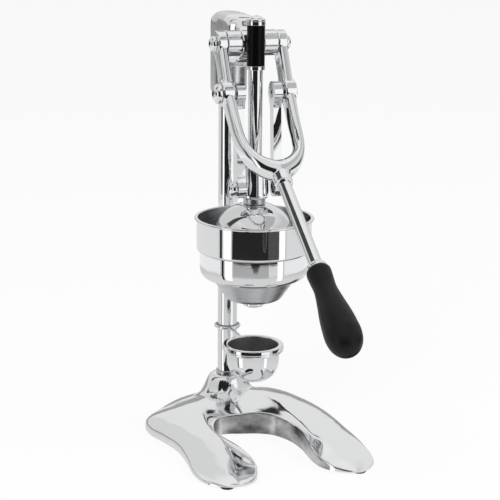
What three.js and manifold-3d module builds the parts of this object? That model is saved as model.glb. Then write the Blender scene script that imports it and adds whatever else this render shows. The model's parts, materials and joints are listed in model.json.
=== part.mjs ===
// Lever citrus juice press. A cast horseshoe base carries a round column, and the column carries a
// cast head. The head guides a vertical plunger with a pressing bell, and a forked lever pushes the
// plunger down through two links into a bowl with a strainer. A drip cup hangs below the spout.
//
// Millimetres, +Z up. The front is towards -Y, and the plunger's axis stands at x = 0, y = 0 while
// the press is built. At the end the whole press is shifted on the ground, so that the origin lies
// under the middle of its box.

import * as THREE from 'three';
import { mergeVertices } from 'three/addons/utils/BufferGeometryUtils.js';
import Module from 'manifold-3d';

const wasm = await Module();
wasm.setup();

// Clearances
const seatGap = 0.3; // between two pieces that touch, or turn on each other
const cutOverrun = 2; // how far a cut runs past the face that it opens

// Facets round a turned piece
const largeSides = 32;
const mediumSides = 20;
const smallSides = 12;
const hexSides = 6;
const wireSides = 8;

// Feet and base
const footHeight = 2.2;
const footRadius = 7.5;
const baseHalfWidth = 116;
const baseLength = 284;
const baseRearOverhang = 36; // behind the column's axis
const baseCrest = 30; // highest ground clearance of the legs' rounded backs
const bossTop = 42;
const bossRadius = 14.7;
const bossSink = 34; // how deep the boss's foot reaches below its top
const frontFootShares = { x: 0.63, y: 0.955 };
const rearFootShares = { x: 0.56, y: 0.27 };

// Column and what fixes it
const columnRadius = 11.25;
const columnBack = 96; // behind the plunger's axis
const columnSocketDepth = 26;
const columnRingHeight = 4;
const columnRingWall = 1.6;
const boltRadius = 4;
const boltHeadRadius = 6.5;
const boltHeadHeight = 4.2;
const boltReach = 14; // into the column
const washerRadius = 9;
const washerHeight = 1.5;

// Drip cup and its wire holder
const cupUnderside = 64.5;
const cupDepth = 42;
const cupRadius = 29.5;
const cupWall = 1.5;
const cupBead = 2; // radius of the rolled rim
const cupRimOverhang = 2.8; // from the cup's wall to the middle of the rolled rim
const wireRadius = 2;

// Funnel that holds the bowl
const spoutGap = 44.4; // from the drip cup's rim up to the spout
const spoutLength = 6;
const spoutRadius = 11.7;
const spoutBore = 9.3;
const funnelCone = 26; // height from the spout's root to the band
const funnelBand = 31.6; // height of the straight band with its rounded shoulder
const funnelRadius = 59.5;
const funnelWall = 2.4;
const collarWall = 7;
const collarHeight = 26;
const holderArmWidth = 24;
const holderArmHeight = 18;
const clampScrewRadius = 3;
const clampScrewHead = 5;
const clampScrewLength = 9;

// Strainer bowl and reamer
const bowlBand = 36.7; // visible band above the funnel
const bowlRadius = 63;
const bowlBead = 1.3;
const bowlWall = 1.5;
const strainerDepth = 20; // from the funnel's rim to the perforated floor
const strainerHole = 2.2; // radius
const strainerRings = [{ holes: 12, radiusShare: 0.77 }, { holes: 16, radiusShare: 0.9 }];
const reamerRadius = 33;
const reamerHeight = 44;
const reamerRibs = 12;
const reamerRibDepth = 2.4;

// Plunger
const rodRadius = 7.8;
const bellSink = 26.5; // how far the bell's rim stands below the bowl's rim
const bellHeight = 41;
const bellRadius = 46;
const bellWall = 2.6;
const bellNutHeight = 7;
const bellNutRadius = 12.6;
const neckHeight = 6.4;
const neckRadius = 12.2;
const crossheadHeight = 37;
const crossheadRadius = 15.5;
const crossheadTopRadius = 14.4;
const crossPinHeight = 13; // of the links' pins above the crosshead's underside
const capHeight = 5.6;
const capRadius = 10;
const capStudRadius = 3;
const capStudLength = 10;

// Links
const linkLength = 102.2;
const linkThickness = 9;
const linkTopEye = 11.5;
const linkBottomEye = 10.5;
const linkWaist = 5.6; // half the width of the shank
const linkPinRadius = 4;
const linkSpacing = 3.2; // room between a link and the fork's arm
const linkHeadRadius = 10.6; // domed bolt outside the left arm
const linkHeadHeight = 8.4;
const linkScrewRadius = 6; // socket screw inside the right link
const linkScrewHeight = 4;
const linkScrewSocket = 2.6; // radius of its hexagonal socket
const linkScrewReach = 8; // into the fork's arm
const linkSpacerRadius = 8;
const pinHeadRadius = 8;
const pinHeadHeight = 7.4;

// Fork, lever rod and grip
const pivotBack = 20; // behind the plunger's axis
const crankLength = 56.4; // from the head's pivot to the links' upper bolts
const crankAngle = 27.5; // degrees forward of straight down
const leverDrop = 33.2; // degrees below level
const leverOffset = 20.2; // from the links' upper bolts down to the lever's line
const armThickness = 10.7;
const armDepth = 22;
const hubRadius = 13.6;
const elbowRadius = 13.5;
const elbowPad = 2; // how far the elbow's boss stands out of the arm
const forkReach = 100; // from the links' upper bolts to the middle of the fork's bow
const bowThickness = 22;
const socketRadius = 9.8;
const socketLength = 9.7; // past the bow
const leverRadius = 6.85;
const leverSeat = 12; // how far the rod enters the fork's socket
const leverFree = 113; // visible stretch from socket to ferrule
const ferruleRadius = 10.5;
const ferruleHeight = 6;
const gripLength = 106;
const gripTopRadius = 12.5;
const gripNeckRadius = 11.4;
const gripBulbRadius = 18;
const gripSeat = 30; // how far the rod enters the grip

// Head
const crossBossRadius = 14;
const crossBossHalf = 12;
const headHalfWidth = 18;
const headCrown = 28; // above the pivot
const headUnderside = 27; // below the pivot
const headRound = 13; // rounding of the crown over the column
const headCorner = 3; // rounding of the socket's lower edge
const socketWall = 9;
const socketDrop = 63; // below the pivot

// Guide sleeve of the plunger, with a black band round it
const sleeveWall = 1.2;
const sleeveRimRadius = 10;
const sleeveRimHeight = 4.2;
const sleeveUp = 25; // above the pivot
const sleeveDown = 26.3; // below the pivot
const bandThickness = 0.5;

// Pivot of the lever
const pivotRadius = 5;
const nutRadius = 8.2;
const nutHeight = 6.5;
const headScrewLength = 10;

// Heights and places that follow from the sizes above
const baseUnderside = footHeight + seatGap;
const baseRear = columnBack + baseRearOverhang;
const columnSeat = bossTop - columnSocketDepth;
const cupRim = cupUnderside + cupDepth;
const spoutMouth = cupRim + spoutGap;
const spoutRoot = spoutMouth + spoutLength;
const funnelShoulder = spoutRoot + funnelCone;
const funnelTop = funnelShoulder + funnelBand;
const bowlSeat = funnelTop + seatGap;
const bowlRim = bowlSeat + bowlBand;
const strainerFloor = funnelTop - strainerDepth;
const bellRim = bowlRim - bellSink;
const bellTop = bellRim + bellHeight;
const crossheadUnderside = bellTop + neckHeight + 2 * seatGap;
const crossheadTop = crossheadUnderside + crossheadHeight;
const crossPin = crossheadUnderside + crossPinHeight;
const crankForward = crankLength * Math.sin(THREE.MathUtils.degToRad(crankAngle));
const crankDown = crankLength * Math.cos(THREE.MathUtils.degToRad(crankAngle));
const elbowY = pivotBack - crankForward;
const elbowZ = crossPin + Math.sqrt(linkLength ** 2 - elbowY ** 2);
const pivotZ = elbowZ + crankDown;
const headTop = pivotZ + headCrown;
const sleeveTop = pivotZ + sleeveUp;
const sleeveBottom = pivotZ - sleeveDown;
const socketBottom = pivotZ - socketDrop;
const socketOuter = columnRadius + seatGap + socketWall;
const columnTop = headTop - socketWall;
const linkInner = crossheadRadius + 2 * seatGap;
const linkOuter = linkInner + linkThickness;
const forkInner = linkOuter + linkSpacing;
const forkOuter = forkInner + armThickness;
const forkMiddle = forkInner + armThickness / 2;
const bowEnd = forkReach + bowThickness / 2 + socketLength;
const leverStart = bowEnd - leverSeat;
const gripStart = bowEnd + leverFree + ferruleHeight + 2 * seatGap;

// Finishes

const finish = (color, roughness, metalness) => (
  new THREE.MeshStandardMaterial({ color, roughness, metalness })
);
const polishedCasting = finish(0xd8dadd, 0.16, 1);
const chrome = finish(0xdfe2e6, 0.08, 1);
const stainless = finish(0xc9ccd0, 0.22, 1);
const brushedSteel = finish(0xb4b7ba, 0.38, 1);
const blackRubber = finish(0x141414, 0.85, 0);
const blackGrip = finish(0x111112, 0.45, 0);
const blackBand = finish(0x0c0c0d, 0.35, 0);

// Geometry helpers

// A turned piece round the Z axis. Its profile runs anticlockwise in radius and height.
function turned(profile, sides) {
  const points = profile.map(([radius, height]) => new THREE.Vector2(radius, height));
  return new THREE.LatheGeometry(points, sides).rotateX(Math.PI / 2);
}

// A plain rod from one height to another, with an optional bore along its whole length
function rod(radius, low, high, sides, bore = 0) {
  const outline = [[bore, low], [radius, low], [radius, high], [bore, high]];
  return turned(bore > 0 ? [...outline, outline[0]] : outline, sides);
}

// A torus round the Z axis, flat enough in its facets to stay light
function ring(radius, tube, height, sides) {
  return new THREE.TorusGeometry(radius, tube, wireSides, sides).translate(0, 0, height);
}

// Turns a piece that stands along Z so that it lies along X
function alongX(geometry) {
  return geometry.rotateY(Math.PI / 2);
}

// A low dome with a rounded shoulder, standing on the given height
function dome(radius, low, height, sides, bore = 0, boreDepth = 0) {
  const arc = [0, 0.25, 0.5, 0.75, 1].map((share) => {
    const angle = share * Math.PI / 2;
    return [radius * Math.cos(angle), low + height * (0.35 + 0.65 * Math.sin(angle))];
  });
  arc[arc.length - 1][0] = 0;
  const underside = bore > 0 ? [[0, low + boreDepth], [bore, low + boreDepth], [bore, low]] : [[0, low]];
  return turned([...underside, [radius, low], ...arc], sides);
}

// A closed solid through rings of points that run anticlockwise seen from the last ring
function loft(rings) {
  const count = rings[0].length;
  const positions = rings.flat().flatMap((point) => point.toArray());
  const faces = [];
  for (let i = 0; i + 1 < rings.length; i += 1) {
    for (let j = 0; j < count; j += 1) {
      const here = i * count + j;
      const beside = i * count + (j + 1) % count;
      faces.push(here, beside, beside + count, here, beside + count, here + count);
    }
  }
  const last = (rings.length - 1) * count;
  for (let j = 1; j + 1 < count; j += 1) {
    faces.push(0, j + 1, j, last, last + j, last + j + 1);
  }
  const geometry = new THREE.BufferGeometry();
  geometry.setAttribute('position', new THREE.Float32BufferAttribute(positions, 3));
  geometry.setIndex(faces);
  return geometry;
}

// A closed geometry as a solid that can be joined and cut
function toSolid(geometry) {
  const bare = geometry.clone();
  bare.deleteAttribute('normal');
  bare.deleteAttribute('uv');
  const merged = mergeVertices(bare, 1e-4);
  const index = merged.index.array;
  const faces = [];
  for (let i = 0; i < index.length; i += 3) {
    const [a, b, c] = [index[i], index[i + 1], index[i + 2]];
    if (a !== b && b !== c && c !== a) faces.push(a, b, c);
  }
  return new wasm.Manifold(new wasm.Mesh({
    numProp: 3,
    vertProperties: new Float32Array(merged.attributes.position.array),
    triVerts: new Uint32Array(faces),
  }));
}

function fromSolid(solid) {
  const mesh = solid.getMesh();
  const geometry = new THREE.BufferGeometry();
  geometry.setAttribute('position', new THREE.Float32BufferAttribute(mesh.vertProperties, 3));
  geometry.setIndex([...mesh.triVerts]);
  return geometry;
}

// One casting or forging made from joined shapes, less the shapes that are cut away
function joined(shapes, cuts = []) {
  let solid = shapes.map(toSolid).reduce((whole, shape) => whole.add(shape));
  for (const cut of cuts) solid = solid.subtract(toSolid(cut));
  return fromSolid(solid);
}

// Smooth curve through a table of rows, each row a list of numbers
function smoothRows(rows, steps) {
  const columns = rows[0].length;
  const at = (row, column) => rows[Math.min(Math.max(row, 0), rows.length - 1)][column];
  const result = [];
  for (let step = 0; step <= steps; step += 1) {
    const place = step / steps * (rows.length - 1);
    const row = Math.min(Math.floor(place), rows.length - 2);
    const t = place - row;
    result.push(Array.from({ length: columns }, (unused, column) => {
      const [p0, p1, p2, p3] = [-1, 0, 1, 2].map((offset) => at(row + offset, column));
      return p1 + t / 2 * (p2 - p0 + t * (2 * p0 - 5 * p1 + 4 * p2 - p3 + t * (3 * (p1 - p2) + p3 - p0)));
    }));
  }
  return result;
}

// The press as groups: what stands still, and one group for each moving body

const press = new THREE.Group();
press.name = 'lever_citrus_juice_press';

function addPiece(parent, name, geometry, material) {
  const mesh = new THREE.Mesh(geometry, material);
  mesh.name = name;
  parent.add(mesh);
  return mesh;
}

// Base: a horseshoe with rounded legs, not quite alike. Each row of shares is a line across the
// casting, from the middle of the back to the tip of a leg: its inner and outer end in plan, heights
// along it as shares of the crest, and the power of its fall from the crest to the outer edge.
// inner x, inner y, outer x, outer y, rim, crest, edge, fall
const leftRowShares = [
  [0, 0.493, 0, 0, 0.93, 1, 0.3, 1.6],
  [0.125, 0.48, 0.397, 0.042, 0.87, 0.94, 0.28, 1.6],
  [0.262, 0.466, 0.724, 0.155, 0.8, 0.8, 0.27, 1.2],
  [0.375, 0.479, 0.948, 0.275, 0.76, 0.76, 0.27, 0.8],
  [0.448, 0.552, 0.978, 0.377, 0.73, 0.76, 0.28, 0.6],
  [0.435, 0.64, 0.905, 0.479, 0.7, 0.76, 0.3, 0.5],
  [0.352, 0.73, 0.841, 0.588, 0.62, 0.74, 0.31, 0.5],
  [0.303, 0.815, 0.836, 0.711, 0.52, 0.64, 0.28, 0.5],
  [0.302, 0.887, 0.853, 0.827, 0.4, 0.5, 0.24, 0.5],
  [0.336, 0.933, 0.819, 0.908, 0.3, 0.37, 0.2, 0.5],
  [0.397, 0.965, 0.724, 0.958, 0.2, 0.25, 0.15, 0.5],
  [0.491, 0.982, 0.603, 0.986, 0.14, 0.15, 0.1, 0.5],
];
const rightRowShares = [
  [0, 0.493, 0, 0, 0.93, 1, 0.3, 1.6],
  [0.103, 0.512, 0.345, 0.042, 0.92, 1.02, 0.32, 1.1],
  [0.181, 0.542, 0.569, 0.141, 0.88, 0.98, 0.3, 0.8],
  [0.241, 0.588, 0.724, 0.264, 0.82, 0.84, 0.28, 0.7],
  [0.28, 0.645, 0.802, 0.387, 0.8, 0.8, 0.28, 0.6],
  [0.296, 0.71, 0.828, 0.5, 0.78, 0.78, 0.3, 0.5],
  [0.289, 0.773, 0.836, 0.62, 0.74, 0.74, 0.31, 0.5],
  [0.289, 0.838, 0.849, 0.729, 0.6, 0.66, 0.28, 0.5],
  [0.31, 0.894, 0.853, 0.824, 0.4, 0.52, 0.24, 0.5],
  [0.371, 0.937, 0.823, 0.908, 0.3, 0.38, 0.2, 0.5],
  [0.448, 0.965, 0.733, 0.961, 0.2, 0.25, 0.15, 0.5],
  [0.534, 0.984, 0.629, 0.988, 0.14, 0.15, 0.1, 0.5],
];
const baseStations = 22;
const baseAcross = 10;
const ledgeShare = 0.1; // flat ledge beside the inner wall
const crestShare = 0.48; // where across the line the crest stands

function baseRing([innerX, innerY, outerX, outerY, rim, crest, edge, fall], side) {
  const ringPoints = [];
  for (let j = 0; j <= baseAcross; j += 1) {
    const across = j / baseAcross;
    const climb = Math.min(Math.max((across - ledgeShare) / (crestShare - ledgeShare), 0), 1);
    const drop = Math.max((across - crestShare) / (1 - crestShare), 0);
    const height = drop > 0
      ? edge + (crest - edge) * (1 - drop ** 2) ** fall
      : rim + (crest - rim) * climb * climb * (3 - 2 * climb);
    const x = side * baseHalfWidth * (innerX + (outerX - innerX) * across);
    const y = baseRear - baseLength * (innerY + (outerY - innerY) * across);
    ringPoints.push(new THREE.Vector3(x, y, height * baseCrest));
  }
  const inner = ringPoints[0];
  const outer = ringPoints[baseAcross];
  ringPoints.push(new THREE.Vector3(outer.x, outer.y, baseUnderside));
  ringPoints.push(new THREE.Vector3(inner.x, inner.y, baseUnderside));
  return ringPoints.reverse();
}

const baseRings = [
  ...smoothRows(leftRowShares, baseStations).slice(1).reverse().map((row) => baseRing(row, -1)),
  ...smoothRows(rightRowShares, baseStations).map((row) => baseRing(row, 1)),
];

// The boss that the column stands in, and a keel that falls from it to the closed end of the horseshoe
const bossShares = [
  // radius, height
  [1, 1], [1.25, 0.97], [1.43, 0.91], [1.6, 0.8], [1.7, 0.7], [1.97, 0.41], [2.35, 0.22],
];
const boss = turned([
  [0, bossTop - bossSink],
  [bossRadius * bossShares[bossShares.length - 1][0], bossTop - bossSink],
  ...bossShares.map(([radius, height]) => [bossRadius * radius, bossTop - bossSink * (1 - height)]).reverse(),
  [0, bossTop],
], mediumSides).translate(0, columnBack, 0);
const keelRowShares = [
  // place from the column to the inner end of the base's middle, half width, height
  [0.06, 0.8, 0.86], [0.35, 0.75, 0.76], [0.65, 0.62, 0.68], [0.92, 0.4, 0.58],
];
const keelLength = columnBack + baseLength * leftRowShares[0][1] - baseRear;
const keelLean = 13; // how far its foot stands to the left of the middle
const keel = loft(keelRowShares.map(([place, width, height]) => {
  const y = columnBack - keelLength * place;
  const half = bossRadius * width;
  const foot = bossTop - bossSink;
  const top = bossTop * height;
  return [[-1.8, 0], [1.8, 0], [1, 0.8], [0, 1], [-1, 0.8]].map(([x, z]) => (
    new THREE.Vector3(half * x - keelLean * place, y, foot + (top - foot) * z)
  ));
}));
const counterbore = boltHeadHeight + washerHeight + 2 * seatGap;
const base = joined(
  [loft(baseRings), boss, keel],
  [
    rod(columnRadius + seatGap, columnSeat, bossTop + cutOverrun, mediumSides).translate(0, columnBack, 0),
    rod(boltRadius + seatGap, 0, bossTop, smallSides).translate(0, columnBack, 0),
    rod(washerRadius + seatGap, 0, baseUnderside + counterbore, smallSides).translate(0, columnBack, 0),
  ],
);
addPiece(press, 'base', base, polishedCasting);

// Feet under the leg tips and the rear lobes
const footPlaces = [
  ['foot_front_left', -1, frontFootShares],
  ['foot_front_right', 1, frontFootShares],
  ['foot_rear_left', -1, rearFootShares],
  ['foot_rear_right', 1, rearFootShares],
];
for (const [name, side, shares] of footPlaces) {
  const foot = addPiece(press, name, rod(footRadius, 0, footHeight, smallSides), blackRubber);
  foot.position.set(side * baseHalfWidth * shares.x, baseRear - baseLength * shares.y, 0);
}

// Column, pulled into the boss by a bolt from below
const columnGroup = new THREE.Group();
columnGroup.position.y = columnBack;
press.add(columnGroup);
const columnFoot = columnSeat + seatGap;
const boltEnd = columnFoot + boltReach;
addPiece(columnGroup, 'column', turned([
  [0, boltEnd + seatGap],
  [boltRadius + seatGap, boltEnd + seatGap],
  [boltRadius + seatGap, columnFoot],
  [columnRadius, columnFoot],
  [columnRadius, columnTop],
  [0, columnTop],
], mediumSides), chrome);
const washerTop = baseUnderside + counterbore - seatGap;
const washerLow = washerTop - washerHeight;
addPiece(columnGroup, 'column_washer',
  rod(washerRadius, washerLow, washerTop, smallSides, boltRadius + seatGap), brushedSteel);
addPiece(columnGroup, 'column_bolt', turned([
  [0, washerLow - seatGap - boltHeadHeight],
  [boltHeadRadius, washerLow - seatGap - boltHeadHeight],
  [boltHeadRadius, washerLow - seatGap],
  [boltRadius, washerLow - seatGap],
  [boltRadius, boltEnd],
  [0, boltEnd],
], hexSides), brushedSteel);
const ringBore = columnRadius + seatGap;
addPiece(columnGroup, 'column_ring', rod(
  ringBore + columnRingWall, bossTop + seatGap, bossTop + seatGap + columnRingHeight, mediumSides, ringBore,
), brushedSteel);

// Head: a socket on the column, an arm, and a cross boss for the pivot with a groove for the sleeve
// Each row of the arm holds a place from the pivot back to the column, how far the arm reaches above
// and below the pivot there, and its half width
const armNeck = crossBossHalf - seatGap;
const armRows = [
  [pivotBack, crossBossRadius * 0.9, crossBossRadius * 0.9, armNeck],
  [pivotBack + crossBossRadius * 0.7, crossBossRadius * 1.1, crossBossRadius * 1.1, armNeck],
  [pivotBack + crossBossRadius * 1.1, headCrown * 0.84, headUnderside * 0.75, armNeck],
  [pivotBack + crossBossRadius * 1.7, headCrown * 0.93, headUnderside * 0.9, headHalfWidth],
  [columnBack - socketOuter * 1.5, headCrown * 0.98, headUnderside, headHalfWidth],
  [columnBack - socketOuter * 0.8, headCrown, headUnderside * 1.2, headHalfWidth],
  [columnBack, headCrown * 0.98, headUnderside * 1.5, headHalfWidth],
];
const armCorners = 16;
const squareness = 0.42; // power that makes the arm's round section nearly square
const squared = (value, power) => Math.sign(value) * Math.abs(value) ** power;
function armRing([y, above, below, half]) {
  const middle = pivotZ + (above - below) / 2;
  return Array.from({ length: armCorners }, (unused, i) => {
    const angle = (i + 0.5) / armCorners * 2 * Math.PI;
    const across = -half * squared(Math.cos(angle), squareness);
    return new THREE.Vector3(across, y, middle + (above + below) / 2 * squared(Math.sin(angle), squareness));
  });
}

const headArm = loft(armRows.map(armRing));
const crownShares = [0, 0.25, 0.5, 0.75, 1];
const crownArc = crownShares.map((share) => [
  socketOuter - headRound * (1 - Math.cos(share * Math.PI / 2)),
  headTop - headRound * (1 - Math.sin(share * Math.PI / 2)),
]);
const headSocket = turned([
  [0, socketBottom],
  [socketOuter - headCorner, socketBottom],
  [socketOuter, socketBottom + headCorner],
  ...crownArc,
  [0, headTop],
], mediumSides).translate(0, columnBack, 0);
const crossBoss = alongX(rod(crossBossRadius, -crossBossHalf, crossBossHalf, mediumSides))
  .translate(0, pivotBack, pivotZ);
const head = joined(
  [headSocket, headArm, crossBoss],
  [
    rod(columnRadius + seatGap, socketBottom - cutOverrun, columnTop + seatGap, mediumSides)
      .translate(0, columnBack, 0),
    rod(sleeveRimRadius + seatGap, sleeveBottom, sleeveTop, mediumSides),
    alongX(rod(pivotRadius + seatGap, -headHalfWidth, headHalfWidth, smallSides))
      .translate(0, pivotBack, pivotZ),
    rod(clampScrewRadius + seatGap, 0, 2 * socketOuter, smallSides).rotateX(-Math.PI / 2)
      .translate(0, columnBack + columnRadius, socketBottom + socketOuter),
  ],
);
addPiece(press, 'head', head, polishedCasting);

// Guide sleeve with a rim at each end, and the black band between its rims
const sleeveBore = rodRadius + seatGap;
const sleeveOuter = sleeveBore + sleeveWall;
const rimBottom = sleeveBottom + sleeveRimHeight;
const rimTop = sleeveTop - sleeveRimHeight;
addPiece(press, 'guide_sleeve', turned([
  [sleeveBore, sleeveBottom],
  [sleeveRimRadius, sleeveBottom],
  [sleeveRimRadius, rimBottom],
  [sleeveOuter - bandThickness, rimBottom],
  [sleeveOuter - bandThickness, rimTop],
  [sleeveRimRadius, rimTop],
  [sleeveRimRadius, sleeveTop],
  [sleeveBore, sleeveTop],
  [sleeveBore, sleeveBottom],
], mediumSides), chrome);
const bandBore = sleeveOuter - bandThickness + seatGap;
addPiece(press, 'sleeve_band',
  rod(bandBore + bandThickness, rimBottom + seatGap, rimTop - seatGap, mediumSides, bandBore), blackBand);

// A socket screw that lies towards +Y, its head outside
function clampScrew(length) {
  const headStart = length - clampScrewRadius;
  return turned([
    [0, 0],
    [clampScrewRadius, 0],
    [clampScrewRadius, headStart],
    [clampScrewHead, headStart],
    [clampScrewHead, length],
    [0, length],
  ], smallSides).rotateX(-Math.PI / 2);
}

const headScrew = addPiece(press, 'head_screw', clampScrew(headScrewLength + clampScrewRadius), brushedSteel);
headScrew.position.set(0, columnBack + columnRadius + seatGap, socketBottom + socketOuter);

// Pivot: a shaft through the head, a spacer and a domed nut on each side
const pivotGroup = new THREE.Group();
pivotGroup.position.set(0, pivotBack, pivotZ);
press.add(pivotGroup);
const nutStart = forkOuter + seatGap;
const nutBoreDepth = nutHeight / 3;
const shaftEnd = nutStart + nutBoreDepth - seatGap;
addPiece(pivotGroup, 'pivot_shaft', alongX(rod(pivotRadius, -shaftEnd, shaftEnd, smallSides)), brushedSteel);
for (const [side, word] of [[-1, 'left'], [1, 'right']]) {
  const turn = side * Math.PI / 2;
  const spacerStart = crossBossHalf + seatGap;
  const spacer = rod(crossBossRadius, spacerStart, forkInner - seatGap, mediumSides, pivotRadius + seatGap);
  addPiece(pivotGroup, `pivot_spacer_${word}`, spacer.rotateY(turn), polishedCasting);
  const nut = dome(nutRadius, nutStart, nutHeight, smallSides, pivotRadius + seatGap, nutBoreDepth);
  addPiece(pivotGroup, `pivot_nut_${word}`, nut.rotateY(turn), chrome);
}

// Funnel: band, rounded shoulder, cone and spout, with an arm and a collar on the column
const funnelFlat = funnelRadius * 0.52; // edge of the nearly flat bottom
const funnelBreak = funnelRadius * 0.77; // where the shoulder meets the cone
const bandFoot = funnelShoulder + funnelBand * 0.35;
const funnelOuterProfile = [
  [spoutRadius, spoutMouth],
  [spoutRadius, spoutRoot],
  [funnelFlat, spoutRoot + funnelCone * 0.12],
  [funnelBreak, funnelShoulder],
  [funnelRadius * 0.89, funnelShoulder + funnelBand * 0.05],
  [funnelRadius * 0.96, funnelShoulder + funnelBand * 0.15],
  [funnelRadius, bandFoot],
  [funnelRadius, funnelTop],
];
const funnelInnerProfile = [
  [funnelRadius - funnelWall, funnelTop],
  [funnelRadius - funnelWall, bandFoot],
  [funnelBreak - funnelWall / 2, funnelShoulder + funnelWall],
  [funnelFlat - funnelWall / 2, spoutRoot + funnelCone * 0.12 + funnelWall],
  [spoutBore, spoutRoot + funnelWall],
  [spoutBore, spoutMouth],
];
const funnelOutline = [...funnelOuterProfile, ...funnelInnerProfile, funnelOuterProfile[0]];
const collarOuter = columnRadius + seatGap + collarWall;
const collarMiddle = funnelTop - funnelBand / 2;
const collarLow = collarMiddle - collarHeight / 2;
const collarBore = columnRadius + seatGap;
const armStart = funnelRadius - funnelWall;
const holderArm = new THREE.BoxGeometry(holderArmWidth, columnBack - armStart, holderArmHeight)
  .translate(0, (columnBack + armStart) / 2, collarMiddle);
const holderCuts = [
  rod(collarBore, collarLow - cutOverrun, collarLow + collarHeight + cutOverrun, mediumSides)
    .translate(0, columnBack, 0),
  rod(armStart, bandFoot, funnelTop + cutOverrun, largeSides),
  rod(clampScrewRadius + seatGap, 0, 2 * collarOuter, smallSides).rotateX(-Math.PI / 2)
    .translate(0, columnBack + columnRadius, collarMiddle),
];
addPiece(press, 'funnel_holder', joined([
  turned(funnelOutline, largeSides),
  rod(collarOuter, collarLow, collarLow + collarHeight, mediumSides).translate(0, columnBack, 0),
  holderArm,
], holderCuts), stainless);
const holderScrewShape = clampScrew(clampScrewLength + clampScrewRadius);
const holderScrew = addPiece(press, 'holder_screw', holderScrewShape, brushedSteel);
holderScrew.position.set(0, columnBack + columnRadius + seatGap, collarMiddle);

// Strainer bowl: rolled rim, visible band, a step that rests on the funnel, perforated floor
const strainerOuter = funnelRadius - funnelWall - seatGap;
const strainerInner = strainerOuter - bowlWall;
const beadMiddle = bowlRim - bowlBead;
const bowlOutline = [
  [0, strainerFloor - bowlWall],
  [strainerOuter - bowlWall, strainerFloor - bowlWall],
  [strainerOuter, strainerFloor + bowlWall],
  [strainerOuter, bowlSeat],
  [bowlRadius - 1.8 * bowlWall, bowlSeat],
  [bowlRadius - 0.5 * bowlWall, bowlSeat + bowlWall],
  [bowlRadius, bowlSeat + 3 * bowlWall],
  [bowlRadius, beadMiddle - bowlBead],
  [bowlRadius + bowlBead, beadMiddle - bowlBead],
  [bowlRadius + 2 * bowlBead, beadMiddle],
  [bowlRadius + bowlBead, bowlRim],
  [bowlRadius - bowlWall, bowlRim],
  [bowlRadius - bowlWall, bowlSeat + 3.2 * bowlWall],
  [bowlRadius - 2.4 * bowlWall, bowlSeat + bowlWall],
  [strainerInner, bowlSeat + bowlWall],
  [strainerInner, strainerFloor + bowlWall],
  [strainerInner - bowlWall, strainerFloor],
  [0, strainerFloor],
];
const holeLow = strainerFloor - 2 * bowlWall;
const holeCut = (radius, share) => rod(strainerHole, holeLow, strainerFloor + bowlWall, hexSides)
  .translate(radius, 0, 0)
  .rotateZ(share * 2 * Math.PI);
const strainerHoles = strainerRings.flatMap(({ holes, radiusShare }) => (
  Array.from({ length: holes }, (unused, i) => holeCut(strainerOuter * radiusShare, i / holes))
));
addPiece(press, 'strainer_bowl', joined([turned(bowlOutline, largeSides)], strainerHoles), stainless);

// Reamer: a ribbed dome that stands on the strainer's floor
const reamerProfileShares = [
  // radius, height
  [1, 0], [0.98, 0.06], [0.86, 0.3], [0.7, 0.55], [0.5, 0.77], [0.25, 0.94], [0.06, 1],
];
const reamerPoints = reamerRibs * 4;
addPiece(press, 'reamer', loft(reamerProfileShares.map(([radiusShare, heightShare]) => (
  Array.from({ length: reamerPoints }, (unused, i) => {
    const angle = i / reamerPoints * 2 * Math.PI;
    const radius = (reamerRadius - reamerRibDepth * (1 - Math.cos(reamerRibs * angle)) / 2) * radiusShare;
    const height = strainerFloor + seatGap + reamerHeight * heightShare;
    return new THREE.Vector3(radius * Math.cos(angle), radius * Math.sin(angle), height);
  })
))), stainless);

// Plunger: rod, cap, crosshead collar, neck ring, bell and the nut that holds the bell
const plunger = new THREE.Group();
press.add(plunger);
const nutLow = bellTop - bellWall - seatGap - bellNutHeight;
const rodTop = sleeveTop;
addPiece(plunger, 'plunger_rod', turned([
  [0, nutLow + seatGap],
  [rodRadius, nutLow + seatGap],
  [rodRadius, rodTop],
  [capStudRadius + seatGap, rodTop],
  [capStudRadius + seatGap, rodTop - capStudLength],
  [0, rodTop - capStudLength],
], mediumSides), chrome);
const capLow = rodTop + seatGap;
const capFlange = capLow + capHeight * 0.3;
addPiece(plunger, 'rod_cap', turned([
  [0, capLow - capStudLength],
  [capStudRadius, capLow - capStudLength],
  [capStudRadius, capLow],
  [capRadius, capLow],
  [capRadius, capFlange],
  [capRadius * 0.8, capFlange + capHeight * 0.1],
  [capRadius * 0.7, capFlange + capHeight * 0.45],
  [capRadius * 0.4, capFlange + capHeight * 0.65],
  [0, capLow + capHeight],
], mediumSides), chrome);
const rodBore = rodRadius + seatGap;
const collarWaist = crossheadUnderside + crossheadHeight * 0.12;
addPiece(plunger, 'crosshead', turned([
  [rodBore, crossheadUnderside],
  [crossheadRadius * 0.92, crossheadUnderside],
  [crossheadRadius, collarWaist],
  [crossheadTopRadius, crossheadTop - crossheadHeight * 0.08],
  [crossheadTopRadius * 0.92, crossheadTop],
  [rodBore, crossheadTop],
  [rodBore, crossheadUnderside],
], mediumSides), chrome);
addPiece(plunger, 'neck_ring',
  rod(neckRadius, bellTop + seatGap, bellTop + seatGap + neckHeight, mediumSides, rodBore), brushedSteel);
const bellShares = [
  // radius, height
  [1, 0], [0.97, 0.22], [0.913, 0.42], [0.82, 0.627], [0.652, 0.82], [0.413, 0.965], [0.3, 1],
];
const bellOutside = bellShares.map(([radius, height]) => (
  [bellRadius * radius, bellRim + bellHeight * height]
));
const bellInside = bellShares.map(([radius, height]) => (
  [(bellRadius - bellWall) * radius, bellRim + (bellHeight - bellWall) * height]
)).reverse();
addPiece(plunger, 'press_bell', turned([
  ...bellOutside,
  [rodBore, bellTop],
  [rodBore, bellTop - bellWall],
  ...bellInside,
  bellOutside[0],
], largeSides), stainless);
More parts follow.
